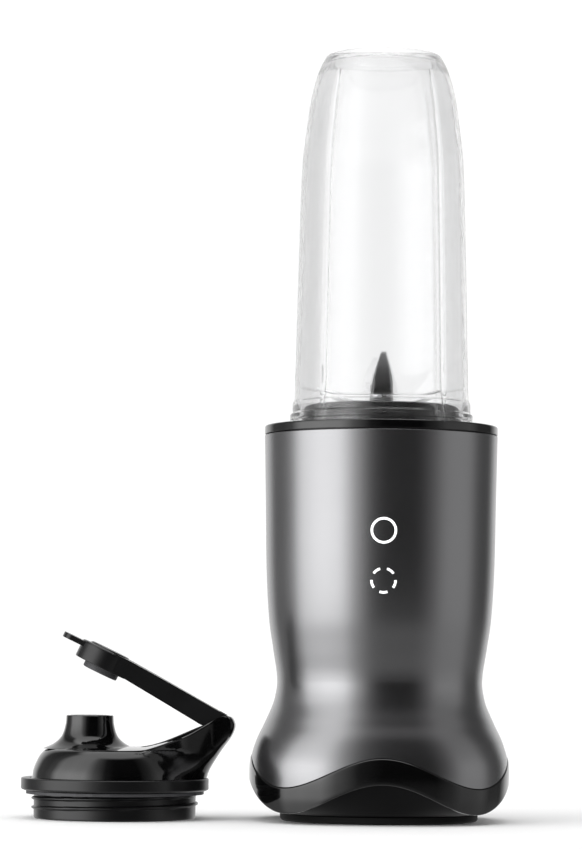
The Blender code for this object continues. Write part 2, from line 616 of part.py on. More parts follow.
# ---- cup ----
def cup_section(angle):
    """The mouth is at the bottom, and four slim ribs stand in from the wall."""
    rib = 0.0022 if angle % 90 == 45 else 0
    mouth = [(MOUTH_RADIUS, 0.2240), (MOUTH_RADIUS + 0.0005, 0.2232), (MOUTH_RADIUS, 0.2224), (MOUTH_RADIUS, CUP_RIM)]
    outside = [(0, CUP_TOP), (0.0295, CUP_TOP), *[(radius, height) for height, radius in reversed(CUP_OUTLINE)],
               (MOUTH_RADIUS, 0.2318), *mouth]
    inner_mouth = 0.0479
    female = 0.0467
    inside = [(inner_mouth, CUP_RIM), (inner_mouth, 0.2130), (female, 0.2142), (female, 0.2148),
              (inner_mouth, 0.2160), (inner_mouth, 0.2240)]
    walls = [(cup_profile(z) - CUP_WALL - (rib if 0.2335 < z < 0.420 else 0), z)
             for z in (0.2335, 0.2400, 0.2790, 0.3470, 0.3720, 0.3890, 0.4040, 0.4170)]
    return outside + inside + walls + [(0.0326, 0.4215), (0.0302, 0.4243), (0.0274, 0.4255), (0, 0.4255)]


def make_cup():
    cup = lofted("cup", cup_section, clear, ROUND)
    join(cup, sectors("cup_lugs", 0.0495, LUG_REACH, LUG_LOW, LUG_HIGH, LUG_ANGLES, 12))


# ---- travel lid ----
def make_lid_ring():
    core, ridge = THREAD_CORE, THREAD_RIDGE
    turned("lid_ring", [
        (0.0472, LID_FLANGE_TOP), (LID_FLANGE_RADIUS - 0.0008, LID_FLANGE_TOP),
        (LID_FLANGE_RADIUS, LID_FLANGE_TOP - 0.0008), (LID_FLANGE_RADIUS, LID_FLANGE_LOW), (0.0505, 0.0155),
        (core, 0.0155), (core, 0.0100), (ridge, 0.0092), (ridge, 0.0084), (core, 0.0076), (core, 0.0056),
        (ridge, 0.0048), (ridge, 0.0040), (core, 0.0032), (core, 0), (LID_SKIRT_INNER, 0), (LID_SKIRT_INNER, 0.0190),
        (0.0472, 0.0190)], satin_black, ROUND, parts, (LID_X, 0, 0))
    turned("lid_gasket", [(0.0454, 0.0152), (0.0495, 0.0152), (0.0495, 0.0136), (0.0454, 0.0136)], silicone, ROUND,
           parts, (LID_X, 0, 0))


def hinge_arc(radius, angles, centre=(HINGE_X - LID_X, HINGE_Z)):
    return [(centre[0] + radius * math.cos(math.radians(a)), centre[1] + radius * math.sin(math.radians(a)))
            for a in angles]


def tail_outline():
    """The tail's side walls, about the lid's centre: they sweep up from the dome to the ears round the pin."""
    return [(0.0100, 0.0360), (0.0300, 0.0330), (0.0440, 0.0245), (0.0495, 0.0238), (0.0519, 0.0280),
            (0.0552, 0.0346), (0.0602, 0.0420), *hinge_arc(0.0049, (-45, -15, 15, 45, 75, 105)),
            (0.0528, 0.0543), (0.0446, 0.0492), (0.0363, 0.0450), (0.0281, 0.0412), (0.0162, 0.0390)]


def bed_outline():
    """The raised bed between the walls, over which the hollow flip arm closes."""
    return [(0.0125, 0.0352), (0.0300, 0.0312), (0.0520, 0.0330), *hinge_arc(0.0046, (-45, -15, 15, 45, 75, 110)),
            (0.0548, 0.0540), (0.0470, 0.0513), (0.0380, 0.0474), (0.0281, 0.0433), (0.0108, 0.0402)]


def make_lid_dome():
    inner = [(0, 0.0377), (0.0200, 0.0373), (0.0340, 0.0358), (0.0400, 0.0330), (0.0432, 0.0300), (0.0444, 0.0260)]
    dome = turned("lid_dome", [
        (0, 0.0400), (0.0200, 0.0396), (0.0350, 0.0382), (0.0420, 0.0352), (0.0455, 0.0310), (0.0466, 0.0265),
        (0.0466, 0.0193), (0, 0.0193)], gloss_black, ROUND, parts, (LID_X, 0, 0))
    spout = turned("spout_shape", [
        (0, SPOUT_TOP), (SPOUT_RADIUS - 0.0006, SPOUT_TOP), (SPOUT_RADIUS, SPOUT_TOP - 0.0006), (0.0132, 0.0510),
        (0.0142, 0.0460), (0.0170, 0.0420), (0.0215, 0.0393), (0.0215, 0.0385), (0, 0.0385)], gloss_black, 24,
        cutters, (SPOUT_X, 0, 0))
    tail = sheet_cut("tail_shape", [tail_outline()], -TAIL_HALF_WIDTH, TAIL_HALF_WIDTH, gloss_black, cutters, True,
                     (LID_X, 0, 0))
    bed = sheet_cut("bed_shape", [bed_outline()], -BED_HALF_WIDTH, BED_HALF_WIDTH, gloss_black, cutters, True,
                    (LID_X, 0, 0))
    inside = turned("dome_inside", [*inner, (0.0444, 0.0185), (0, 0.0185)], gloss_black, ROUND, cutters,
                    (LID_X, 0, 0))
    join(dome, spout, tail, bed)
    cut(dome, inside)
    cut(dome, rod("spout_bore", SPOUT_BORE, (SPOUT_X, 0, 0.030), (SPOUT_X, 0, 0.070), gloss_black, cutters, 24))
    for side, name in ((1, "back"), (-1, "front")):
        near, far = sorted((side * (BED_HALF_WIDTH - 0.0002), side * (TAIL_HALF_WIDTH - 0.0016)))
        cut(dome, block(f"arm_slot_{name}", (HINGE_X - 0.025, near, HINGE_Z - 0.0074),
                        (HINGE_X + 0.006, far, HINGE_Z + 0.012), gloss_black, cutters))
    cut(dome, rod("ear_bore", 0.0018, (HINGE_X, -0.014, HINGE_Z), (HINGE_X, 0.014, HINGE_Z), gloss_black, cutters,
                  12))
    rod("hinge_pin", 0.0015, (HINGE_X, -0.0118, HINGE_Z), (HINGE_X, 0.0118, HINGE_Z), steel, parts, 12)


def arm_outline():
    """The flip arm from the side when shut, about the hinge, reaching to -X."""
    knuckle = [(0.0045 * math.cos(math.radians(a)), 0.0045 * math.sin(math.radians(a)))
               for a in (90, 50, 10, -30, -70, -110)]
    return [*knuckle, (-0.0116, -0.0064), (-0.0646, -0.0017), (-0.0720, -0.0010), (-0.0720, 0.0081),
            (-0.0610, 0.0081)]


def make_flip_arm():
    """The hollow arm is shaped shut and level, then turned open about the hinge as it rests."""
    reach = HINGE_X - SPOUT_X
    seat, skirt_low, skirt_outer, skirt_inner = 0.0044, -0.0011, 0.0165, 0.0144
    arm = sheet_cut("flip_arm", [arm_outline()], -ARM_HALF_WIDTH, ARM_HALF_WIDTH, satin_black, parts, True)
    head = turned("arm_head", [(0, 0.0089), (0.0110, 0.0089), (0.0122, 0.0080), (skirt_outer - 0.0012, 0.0078),
                               (skirt_outer, 0.0068), (skirt_outer, skirt_low), (0, skirt_low)], satin_black, 24,
                  cutters, (-reach, 0, 0))
    tab = block("thumb_tab", (-ARM_LENGTH, -0.0080, 0.0045), (-reach - 0.012, 0.0080, 0.0067), satin_black, cutters)
    hollow = block("arm_hollow", (-reach, -BED_HALF_WIDTH - 0.0003, -0.0100),
                   (0.0080, BED_HALF_WIDTH + 0.0003, 0.0023), satin_black, cutters)
    knuckle_room = rod("knuckle_room", 0.0072, (0, -BED_HALF_WIDTH - 0.0003, 0), (0, BED_HALF_WIDTH + 0.0003, 0),
                       satin_black, cutters, 20)
    socket = rod("arm_socket", skirt_inner, (-reach, 0, -0.0100), (-reach, 0, seat), satin_black, cutters, 24)
    pin_bore = rod("pin_bore", 0.0018, (0, -0.014, 0), (0, 0.014, 0), satin_black, cutters, 12)
    join(arm, head, tab)
    cut(arm, hollow, knuckle_room, socket, pin_bore)
    plug = turned("spout_plug", [(0, seat - GAP), (0.0102, seat - GAP), (0.0102, -0.0026), (0.0094, -0.0034),
                                 (0, -0.0034)], silicone, 24, parts, (-reach, 0, 0))
    hinge = bpy.data.objects.new("flip_hinge", None)
    parts.objects.link(hinge)
    for piece in (arm, head, tab, hollow, knuckle_room, socket, pin_bore, plug):
        piece.parent = hinge
    hinge.location = (HINGE_X, 0, HINGE_Z)
    hinge.rotation_euler = (0, math.radians(ARM_REST_ANGLE), 0)


make_foot_pad()
make_bottom_cover()
lofted("base_trim", base_trim_section, gloss_black)
make_outer_housing()
make_top_collar()
make_cup_well()
make_interlock()
make_motor_case()
make_stator()
make_brushes()
make_boards()
make_rotor()
make_blade_unit()
make_blade_rotor()
make_cup()
make_lid_ring()
make_lid_dome()
make_flip_arm()
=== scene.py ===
"""The looks of the personal blender: finer shells, threads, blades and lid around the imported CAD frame.

Units are metres, +Z is up and the front faces -Y. Angles are in degrees from +X towards +Y, except the
studio's, which count from the viewer's side.
"""

import json
import math

import bmesh
import bpy
from mathutils import Matrix, Vector


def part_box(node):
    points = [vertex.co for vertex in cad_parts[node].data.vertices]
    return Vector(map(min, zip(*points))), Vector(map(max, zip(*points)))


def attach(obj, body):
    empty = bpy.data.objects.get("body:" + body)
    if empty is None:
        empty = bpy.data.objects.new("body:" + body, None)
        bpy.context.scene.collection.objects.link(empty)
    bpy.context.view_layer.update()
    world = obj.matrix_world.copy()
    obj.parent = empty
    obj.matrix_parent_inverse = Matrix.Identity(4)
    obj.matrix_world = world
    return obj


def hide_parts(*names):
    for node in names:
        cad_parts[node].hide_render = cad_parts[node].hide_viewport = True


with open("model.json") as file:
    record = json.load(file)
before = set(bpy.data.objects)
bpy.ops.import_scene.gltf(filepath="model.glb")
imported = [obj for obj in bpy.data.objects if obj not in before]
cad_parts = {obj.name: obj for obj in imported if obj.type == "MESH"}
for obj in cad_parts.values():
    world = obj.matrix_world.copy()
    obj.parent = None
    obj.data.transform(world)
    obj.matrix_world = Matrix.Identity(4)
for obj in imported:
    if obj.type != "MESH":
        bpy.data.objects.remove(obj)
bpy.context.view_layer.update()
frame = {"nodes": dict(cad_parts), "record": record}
nodes = frame["nodes"]

# ---- dimensions that the frame gives ----
HOUSING_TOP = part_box("outer_housing")[1].z
COLLAR_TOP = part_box("top_collar")[1].z
COLLAR_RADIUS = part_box("top_collar")[1].x
CUP_RIM, CUP_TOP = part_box("cup")[0].z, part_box("cup")[1].z - 0.0020     # the drawn shoulder is 2 mm lower
LID_X = (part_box("lid_ring")[0].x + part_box("lid_ring")[1].x) / 2
HINGE = (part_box("hinge_pin")[0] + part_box("hinge_pin")[1]) / 2
START_HEIGHT = (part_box("start_light_ring")[0].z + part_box("start_light_ring")[1].z) / 2

# ---- dimensions shared with the CAD part, but for the wavy seam and edge, which stand 1 to 2 mm higher ----
GAP = 0.0003
WALL = 0.0025
LOBE = 0.05                                  # how far the four lobes stand out, as a share of the radius
WAIST_HEIGHT, LOBE_HEIGHT = 0.0774, 0.030
SEAM_MEAN, SEAM_WAVE = 0.0281, 0.0083
EDGE_MEAN, EDGE_WAVE = 0.0138, 0.0082
BASE_OUTLINE = (
    (0.0043, 0.0698), (0.0146, 0.0714), (0.0314, 0.0718), (0.0438, 0.0686), (0.0550, 0.0634),
    (0.0660, 0.0589), (WAIST_HEIGHT, 0.0572), (0.0940, 0.0595), (0.1110, 0.0620), (0.1390, 0.0637),
    (0.1780, 0.0645), (0.2195, 0.0654))
CUP_OUTLINE = (
    (0.2335, 0.0490), (0.2790, 0.0480), (0.3470, 0.0464), (0.3720, 0.0453), (0.3890, 0.0432),
    (0.4040, 0.0412), (0.4170, 0.0379), (0.4240, 0.0353), (0.4285, 0.0325))
CUP_WALL, RIB_DEPTH, RIB_HALF_ANGLE = 0.003, 0.0022, 2.6
MOUTH_RADIUS, INNER_MOUTH = 0.0508, 0.0479
LUG_ANGLES, LUG_REACH, LUG_LOW, LUG_HIGH = (30, 150, 270), 0.0540, 0.2075, 0.2142
THREAD_RIDGE, THREAD_CORE, THREAD_CREST = 0.0463, 0.0450, 0.0008
WELL_FLOOR, WELL_LEDGE, WELL_RADIUS, WELL_LOWER_RADIUS = 0.1780, 0.1957, 0.0548, 0.0455
RING_INNER, RING_OUTER, RING_TOP = 0.0514, 0.0543, 0.2142
TWIST, PLUNGER_TRAVEL = 15, 0.003
COUPLING_RADIUS, TEETH, TOOTH_ANGLE = 0.0130, 6, 18
SHAFT_BORE = 0.0038
ICON_RADIUS, ICON_HALF_STROKE = 0.0065, 0.00065
PULSE_HEIGHT, DASH_ANGLES, DASH_SPAN = 0.132, (270, 342, 54, 126, 198), 38
SPOUT_X, SPOUT_TOP, SPOUT_RADIUS, SPOUT_BORE = LID_X - 0.0144, 0.057, 0.0131, 0.0110
TAIL_HALF_WIDTH, BED_HALF_WIDTH, ARM_HALF_WIDTH = 0.0120, 0.0076, 0.0101
ARM_REST_ANGLE, ARM_LENGTH = 25.5, 0.103
SHARP_ANGLE, CUT_SHARP_ANGLE = 38, 32        # edges above this stay sharp; less on the lid's cut pieces
CORNER_STEPS, NO_LENGTH = 4, 1e-9


# ---- curves and outlines ----
def smooth_curve(keys):
    """A function through (position, value) keys, as a cubic Hermite spline."""
    def slope(i):
        before, after = keys[max(i - 1, 0)], keys[min(i + 1, len(keys) - 1)]
        return (after[1] - before[1]) / (after[0] - before[0])

    def value(position):
        position = min(max(position, keys[0][0]), keys[-1][0])
        i = max(j for j in range(len(keys) - 1) if keys[j][0] <= position)
        (x0, y0), (x1, y1) = keys[i], keys[i + 1]
        width = x1 - x0
        t = (position - x0) / width
        return ((2 * t**3 - 3 * t**2 + 1) * y0 + (t**3 - 2 * t**2 + t) * width * slope(i)
                + (3 * t**2 - 2 * t**3) * y1 + (t**3 - t**2) * width * slope(i + 1))
    return value


def between(low, high, steps):
    return [low + (high - low) * i / steps for i in range(steps + 1)]


def smooth_step(low, high, value):
    share = min(max((value - low) / (high - low), 0), 1)
    return share * share * (3 - 2 * share)


def rounded(outline, closed=True):
    """The outline with its corners eased: each corner is (across, height) or (across, height, radius)."""
    result = []
    count = len(outline)
    for i, (across, height, *radius) in enumerate(outline):
        at_end = not closed and i in (0, count - 1)
        if not radius or at_end:
            result.append((across, height))
            continue
        here = Vector((across, height))
        before = Vector(outline[i - 1][:2]) - here
        after = Vector(outline[(i + 1) % count][:2]) - here
        reach = min(radius[0] / math.tan(before.angle(after) / 2), before.length * 0.48, after.length * 0.48)
        start, end = here + before.normalized() * reach, here + after.normalized() * reach
        for j in range(CORNER_STEPS + 1):
            t = j / CORNER_STEPS
            result.append(tuple(start * (1 - t) ** 2 + here * 2 * t * (1 - t) + end * t * t))
    return result


base_profile = smooth_curve(BASE_OUTLINE)
cup_profile = smooth_curve(CUP_OUTLINE)


def base_radius(height, angle):
    growth = smooth_step(0, 1, (WAIST_HEIGHT - height) / (WAIST_HEIGHT - LOBE_HEIGHT))
    return base_profile(height) * (1 + LOBE * growth * math.sin(math.radians(2 * angle)) ** 2)


def seam(angle):
    return SEAM_MEAN + SEAM_WAVE * math.cos(math.radians(4 * angle))


def trim_edge(angle):
    return EDGE_MEAN + EDGE_WAVE * math.cos(math.radians(4 * angle))


# ---- mesh helpers ----
def outwards(angle):
    """The level unit vector at an angle."""
    return Vector((math.cos(math.radians(angle)), math.sin(math.radians(angle)), 0))


def shape(name, work, material, sharp=SHARP_ANGLE):
    """A mesh object from a bmesh, smooth but for its sharp edges."""
    mesh = bpy.data.meshes.new(name)
    bmesh.ops.recalc_face_normals(work, faces=work.faces)
    work.to_mesh(mesh)
    work.free()
    mesh.materials.append(material)
    mesh.shade_smooth()
    mesh.set_sharp_from_angle(angle=math.radians(sharp))
    obj = bpy.data.objects.new(name, mesh)
    bpy.context.scene.collection.objects.link(obj)
    return obj


def bridge(work, ring, following, closed=True):
    """Faces between two rings of equally many points, except where the rings meet at both ends of one."""
    for j in range(len(ring) if closed else len(ring) - 1):
        k = (j + 1) % len(ring)
        if (ring[j].co - following[j].co).length + (ring[k].co - following[k].co).length > NO_LENGTH:
            work.faces.new((ring[j], following[j], following[k], ring[k]))


def closed_tube(work, rings):
    """Faces from each ring to the next and over both ends."""
    for ring, following in zip(rings, rings[1:]):
        bridge(work, ring, following)
    work.faces.new(rings[0])
    work.faces.new(rings[-1])


def lofted(name, section, material, angles, centre=(0, 0, 0), sharp=SHARP_ANGLE):
    """A closed ring of (radius, height) sections, one at each angle. Angles may be a count or a list."""
    turns = [360 * i / angles for i in range(angles)] if isinstance(angles, int) else angles
    work = bmesh.new()
    rings = []
    for angle in turns:
        across = outwards(angle)
        rings.append([work.verts.new(across * radius + Vector((0, 0, height)) + Vector(centre))
                      for radius, height in section(angle)])
    for ring, following in zip(rings, rings[1:] + rings[:1]):
        bridge(work, ring, following)
    bmesh.ops.remove_doubles(work, verts=work.verts, dist=1e-6)
    return shape(name, work, material, sharp)


def turned(name, outline, material, angles, centre=(0, 0, 0)):
    """An outline of (radius, height, corner radius) spun about the vertical through the centre."""
    points = rounded(outline)
    return lofted(name, lambda angle: points, material, angles, centre)


def prism(name, outline, low, high, material):
    """An upright outline of (x, z) made thick from low to high along Y."""
    work = bmesh.new()
    closed_tube(work, [[work.verts.new((x, y, z)) for x, z in outline] for y in (low, high)])
    return shape(name, work, material)


def box_cutter(name, low, high, material):
    outline = [(low[0], low[2]), (high[0], low[2]), (high[0], high[2]), (low[0], high[2])]
    return prism(name, outline, low[1], high[1], material)


def rod(name, radius, start, end, material, sides=48):
    along = Vector(end) - Vector(start)
    obj = turned(name, [(0, 0), (radius, 0), (radius, along.length), (0, along.length)], material, sides)
    obj.data.transform(Matrix.Translation(Vector(start)) @ along.to_track_quat("Z", "Y").to_matrix().to_4x4())
    return obj


def sectors(name, inner, outer, low, high, middles, span, material):
    """Separate blocks between two radii and two heights, one about each angle."""
    work = bmesh.new()
    for middle in middles:
        rings = []
        for angle in between(middle - span / 2, middle + span / 2, 6):
            across = outwards(angle)
            rings.append([work.verts.new(across * radius + Vector((0, 0, height)))
                          for radius, height in ((inner, low), (outer, low), (outer, high), (inner, high))])
        closed_tube(work, rings)
    return shape(name, work, material)


def combine(target, operation, *tools):
    """Booleans with the tools, applied at once; the tools are removed."""
    for tool in tools:
        change = target.modifiers.new("Change", "BOOLEAN")
        change.operation = operation
        change.solver = "EXACT"
        change.object = tool
        graph = bpy.context.evaluated_depsgraph_get()
        mesh = bpy.data.meshes.new_from_object(target.evaluated_get(graph))
        target.modifiers.clear()
        target.data = mesh
        bpy.data.objects.remove(tool)
    return target


def eased(obj, width, segments=3, angle=35):
    """Rounded edges, so that they catch the light."""
    bevel = obj.modifiers.new("Edges", "BEVEL")
    bevel.width = width
    bevel.segments = segments
    bevel.limit_method = "ANGLE"
    bevel.angle_limit = math.radians(angle)
    bevel.harden_normals = False
    return obj


def even_normals(obj):
    normals = obj.modifiers.new("Normals", "WEIGHTED_NORMAL")
    normals.keep_sharp = True


def shown(obj, body, slot, *replaced):
    """The piece rides on a body and stands for CAD nodes. The slot is not used."""
    even_normals(obj)
    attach(obj, body)
    if replaced:
        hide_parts(*replaced)


# ---- materials ----
def shader_of(name, colour, roughness, metallic=0.0, **constants):
    """A material with its Principled shader. Constants are socket names, with _ for a space."""
    material = bpy.data.materials.new(name)
    material.use_nodes = True
    shader = material.node_tree.nodes["Principled BSDF"]
    shader.inputs["Base Color"].default_value = (*colour, 1)
    shader.inputs["Roughness"].default_value = roughness
    shader.inputs["Metallic"].default_value = metallic
    for socket, value in constants.items():
        shader.inputs[socket.replace("_", " ")].default_value = value
    return material, shader


def pattern(material, kind, scale, stretch=(1, 1, 1), **values):
    """A texture node in the object's own space, and its factor output."""
    tree = material.node_tree
    place = tree.nodes.new("ShaderNodeTexCoord")
    squeeze = tree.nodes.new("ShaderNodeMapping")
    texture = tree.nodes.new(f"ShaderNodeTex{kind}")
    squeeze.inputs["Scale"].default_value = stretch
    texture.inputs["Scale"].default_value = scale
    for socket, value in values.items():
        texture.inputs[socket.replace("_", " ")].default_value = value
    tree.links.new(place.outputs["Object"], squeeze.inputs["Vector"])
    tree.links.new(squeeze.outputs["Vector"], texture.inputs["Vector"])
    return texture.outputs["Distance" if kind == "Voronoi" else "Fac"]


def scaled(colour, factor):
    return tuple(min(factor * c, 1) for c in colour)


def vary(material, shader, factor, socket, low, high):
    """Spreads a number or a colour of the shader between two values by a pattern."""
    tree = material.node_tree
    if isinstance(low, tuple):
        spread = tree.nodes.new("ShaderNodeMix")
        spread.data_type = "RGBA"
        tree.links.new(factor, spread.inputs[0])
        spread.inputs[6].default_value = (*low, 1)
        spread.inputs[7].default_value = (*high, 1)
        tree.links.new(spread.outputs[2], shader.inputs[socket])
        return
    spread = tree.nodes.new("ShaderNodeMapRange")
    tree.links.new(factor, spread.inputs["Value"])
    spread.inputs["To Min"].default_value = low
    spread.inputs["To Max"].default_value = high
    tree.links.new(spread.outputs["Result"], shader.inputs[socket])


def relief(material, shader, factor, depth, strength):
    tree = material.node_tree
    bump = tree.nodes.new("ShaderNodeBump")
    bump.inputs["Distance"].default_value = depth
    bump.inputs["Strength"].default_value = strength
    tree.links.new(factor, bump.inputs["Height"])
    tree.links.new(bump.outputs["Normal"], shader.inputs["Normal"])


def graphite_paint():
    """Satin metallic paint: fine flakes, a faint orange peel and slow changes of gloss."""
    material, shader = shader_of("graphite_paint", (0.20, 0.20, 0.205), 0.26, 0.95, Specular_IOR_Level=0.5,
                                 Coat_Weight=0.12, Coat_Roughness=0.16)
    flakes = pattern(material, "Noise", 2600, Detail=2.0)
    vary(material, shader, flakes, "Base Color", (0.180, 0.180, 0.184), (0.220, 0.220, 0.225))
    vary(material, shader, pattern(material, "Noise", 28, Detail=4.0), "Roughness", 0.235, 0.285)
    relief(material, shader, pattern(material, "Noise", 900, Detail=2.0), 0.00002, 0.25)
    return material


def moulded(name, colour, roughness, grain, depth, **constants):
    """Moulded plastic or rubber: slightly uneven colour and gloss over a fine grain."""
    material, shader = shader_of(name, colour, roughness, **constants)
    cloud = pattern(material, "Noise", 60, Detail=5.0)
    vary(material, shader, cloud, "Base Color", scaled(colour, 0.85), scaled(colour, 1.15))
    vary(material, shader, cloud, "Roughness", roughness * 0.88, roughness * 1.12)
    relief(material, shader, pattern(material, "Noise", grain, Detail=3.0), depth, 0.35)
    return material


def clear_plastic():
    """Clear copolyester with faint flow lines. A fifth of the light passes unbent, for a soft outline."""
    material, shader = shader_of("clear_copolyester", (0.975, 0.977, 0.98), 0.015, IOR=1.42,
                                 Transmission_Weight=1.0, Alpha=0.80)
    vary(material, shader, pattern(material, "Noise", 35, (1, 1, 0.3), Detail=3.0), "Roughness", 0.0, 0.03)
    return material


def brushed(name, colour, roughness, stretch, depth):
    """Metal with fine lines along one direction."""
    material, shader = shader_of(name, colour, roughness, 1.0, Anisotropic=0.3)
    lines = pattern(material, "Noise", 900, stretch, Detail=4.0)
    vary(material, shader, lines, "Base Color", scaled(colour, 0.88), scaled(colour, 1.1))
    vary(material, shader, lines, "Roughness", roughness * 0.75, roughness * 1.3)
    relief(material, shader, lines, depth, 0.3)
    return material


def banded(name, dark, light, roughness, metallic, scale, direction, depth):
    """Fine stripes, such as stacked sheets or wound wire."""
    material, shader = shader_of(name, light, roughness, metallic)
    tree = material.node_tree
    place = tree.nodes.new("ShaderNodeTexCoord")
    stripes = tree.nodes.new("ShaderNodeTexWave")
    stripes.bands_direction = direction
    stripes.inputs["Scale"].default_value = scale
    stripes.inputs["Distortion"].default_value = 0.6
    stripes.inputs["Detail Scale"].default_value = 4
    tree.links.new(place.outputs["Object"], stripes.inputs["Vector"])
    vary(material, shader, stripes.outputs["Fac"], "Base Color", dark, light)
    relief(material, shader, stripes.outputs["Fac"], depth, 0.6)
    return material


def circuit_board():
    material, shader = shader_of("circuit_board", (0.02, 0.12, 0.05), 0.42)
    cells = pattern(material, "Voronoi", 420)
    vary(material, shader, cells, "Base Color", (0.012, 0.085, 0.035), (0.035, 0.16, 0.075))
    relief(material, shader, pattern(material, "Noise", 1500, Detail=2.0), 0.00003, 0.4)
    return material


def light_guide():
    """A lit white light guide, a little uneven as diffusing plastic is."""
    material, shader = shader_of("light_guide", (0.92, 0.93, 0.93), 0.28, Emission_Strength=0.75)
    glow = pattern(material, "Noise", 420, Detail=2.0)
    vary(material, shader, glow, "Emission Color", (0.92, 0.93, 0.94), (1.0, 1.0, 1.0))
    return material


FINISHES = {
    "graphite_shell": graphite_paint(),
    "gloss_black": moulded("gloss_black", (0.0022, 0.0022, 0.0023), 0.075, 500, 0.000004, IOR=1.50),
    "satin_black": moulded("satin_black", (0.0045, 0.0045, 0.0048), 0.30, 1400, 0.00002,
                           Specular_IOR_Level=0.34),
    "clear_cup": clear_plastic(),
    "soft_rubber": moulded("soft_rubber", (0.006, 0.006, 0.006), 0.72, 2200, 0.00006,
                           Specular_IOR_Level=0.15),
    "silicone": moulded("dark_silicone", (0.050, 0.050, 0.054), 0.55, 1200, 0.00002),
    "steel": brushed("brushed_steel", (0.62, 0.62, 0.63), 0.30, (0.05, 1, 1), 0.000003),
    "laminations": banded("laminations", (0.12, 0.12, 0.125), (0.34, 0.34, 0.35), 0.42, 0.9, 320, "Z",
                          0.00008),
    "copper_wire": banded("enamelled_copper", (0.30, 0.10, 0.035), (0.72, 0.31, 0.13), 0.32, 0.9, 260,
                          "DIAGONAL", 0.0002),
    "carbon": moulded("pressed_carbon", (0.028, 0.028, 0.031), 0.62, 1800, 0.00004),
    "cast_alloy": moulded("cast_alloy", (0.52, 0.52, 0.53), 0.44, 700, 0.00008, Metallic=0.9),
    "circuit": circuit_board(),
    "light_white": light_guide(),
    "nylon": moulded("natural_nylon", (0.72, 0.71, 0.66), 0.46, 900, 0.00002),
}
graphite, gloss, satin = FINISHES["graphite_shell"], FINISHES["gloss_black"], FINISHES["satin_black"]
clear, rubber, silicone = FINISHES["clear_cup"], FINISHES["soft_rubber"], FINISHES["silicone"]
steel, nylon, lit = FINISHES["steel"], FINISHES["nylon"], FINISHES["light_white"]
# The cover is black plastic, but its colour and gloss are set lower than the satin black, as painted shade
# inside the arches.
arch_shade_black = moulded("black_with_arch_shade", (0.0030, 0.0030, 0.0032), 0.50, 1400, 0.00002, Specular_IOR_Level=0.10)


def dress_frame():
    """The CAD nodes that stay take their slot's finish, smooth shading but for sharp edges, and even normals.
    """
    for part in frame["record"]["subparts"]:
        node = nodes[part["node"]]
        node.data.materials.clear()
        node.data.materials.append(FINISHES[part["material_slot"]])
        node.data.shade_smooth()
        node.data.set_sharp_from_angle(angle=math.radians(SHARP_ANGLE))
        even_normals(node)


# ---- motor base ----
def housing_section(angle):
    low = seam(angle)
    heights = between(HOUSING_TOP - 0.0006, WAIST_HEIGHT, 34) + between(WAIST_HEIGHT - 0.0015, 0.050, 18)
    heights += between(0.0485, low + 0.0002, 10)
    outer = [(base_radius(z, angle), z) for z in heights]
    inner_heights = between(low, 0.050, 3) + between(0.056, HOUSING_TOP, 12)
    inner = [(base_radius(z, angle) - WALL, z) for z in inner_heights]
    top_edge = (base_radius(HOUSING_TOP, angle) - 0.0005, HOUSING_TOP)
    low_edge = (base_radius(low, angle) - 0.0002, low)
    return [top_edge, *outer, low_edge, *inner]


def trim_section(angle):
    """The wavy band stands a hair proud of the housing, so that its top edge catches the light."""
    thick, ease, proud = 0.0026, 0.0008, 0.0004
    low, top = trim_edge(angle), seam(angle) - 0.0001
    top_radius, low_radius = base_radius(top, angle) + proud, base_radius(low, angle) + proud
    outer = [(base_radius(z, angle) + proud, z) for z in between(top - ease, low + ease, 9)]
    quarter = [math.radians(a) for a in (90, 67, 45, 22)]
    corner = [(ease * (1 - math.cos(a)), ease * (1 - math.sin(a))) for a in quarter]
    over = [(top_radius - across, top - down) for across, down in corner]
    below = [(low_radius - across, low + up) for across, up in reversed(corner)]
    return [(top_radius - thick, top), *over, *outer, *below, (low_radius - thick, low)]


def under_cover_section(angle):
    """The cover inside the arches: a floor over the foot, a skirt out to the trim and a wall up behind it."""
    inset, wall, foot = WALL + 2 * GAP, 0.002, 0.0043
    low, top = trim_edge(angle) + 0.0012, seam(angle) + 0.006
    rim = base_radius(low, angle) - inset
    skirt = [(rim + (0.056 - rim) * t, foot + (low - foot) * (1 - t) ** 1.3) for t in between(0, 1, 10)]
    outer = [(base_radius(z, angle) - inset, z) for z in between(top, low, 6)]
    inner = [(base_radius(z, angle) - inset - wall, z) for z in between(low + 0.0025, top, 6)]
    return [(0, 0.0073), (0.052, 0.0073), *inner, *outer, *skirt[1:], (0, foot)]


def make_under_cover():
    # The cover takes the darkened black: painted shade in the arches under the base.
    cover = lofted("under_cover", under_cover_section, arch_shade_black, 144)
    for number in (1, 2, 3):
        low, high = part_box(f"bottom_screw_{number}")
        x, y = (low.x + high.x) / 2, (low.y + high.y) / 2
        combine(cover, "UNION", rod("post", 0.007, (x, y, 0.006), (x, y, 0.030), arch_shade_black))
        for name, radius, top in (("post_bore", 0.0023, 0.020), ("post_sink", 0.0044, 0.0066)):
            combine(cover, "DIFFERENCE", rod(name, radius, (x, y, 0.002), (x, y, top), arch_shade_black))
    combine(cover, "DIFFERENCE", rod("gland_hole", 0.0050, (0, 0.045, 0.0125), (0, 0.080, 0.0125), arch_shade_black))
    cover.data.set_sharp_from_angle(angle=math.radians(SHARP_ANGLE))
    shown(cover, "motor_base", "satin_black", "bottom_cover")


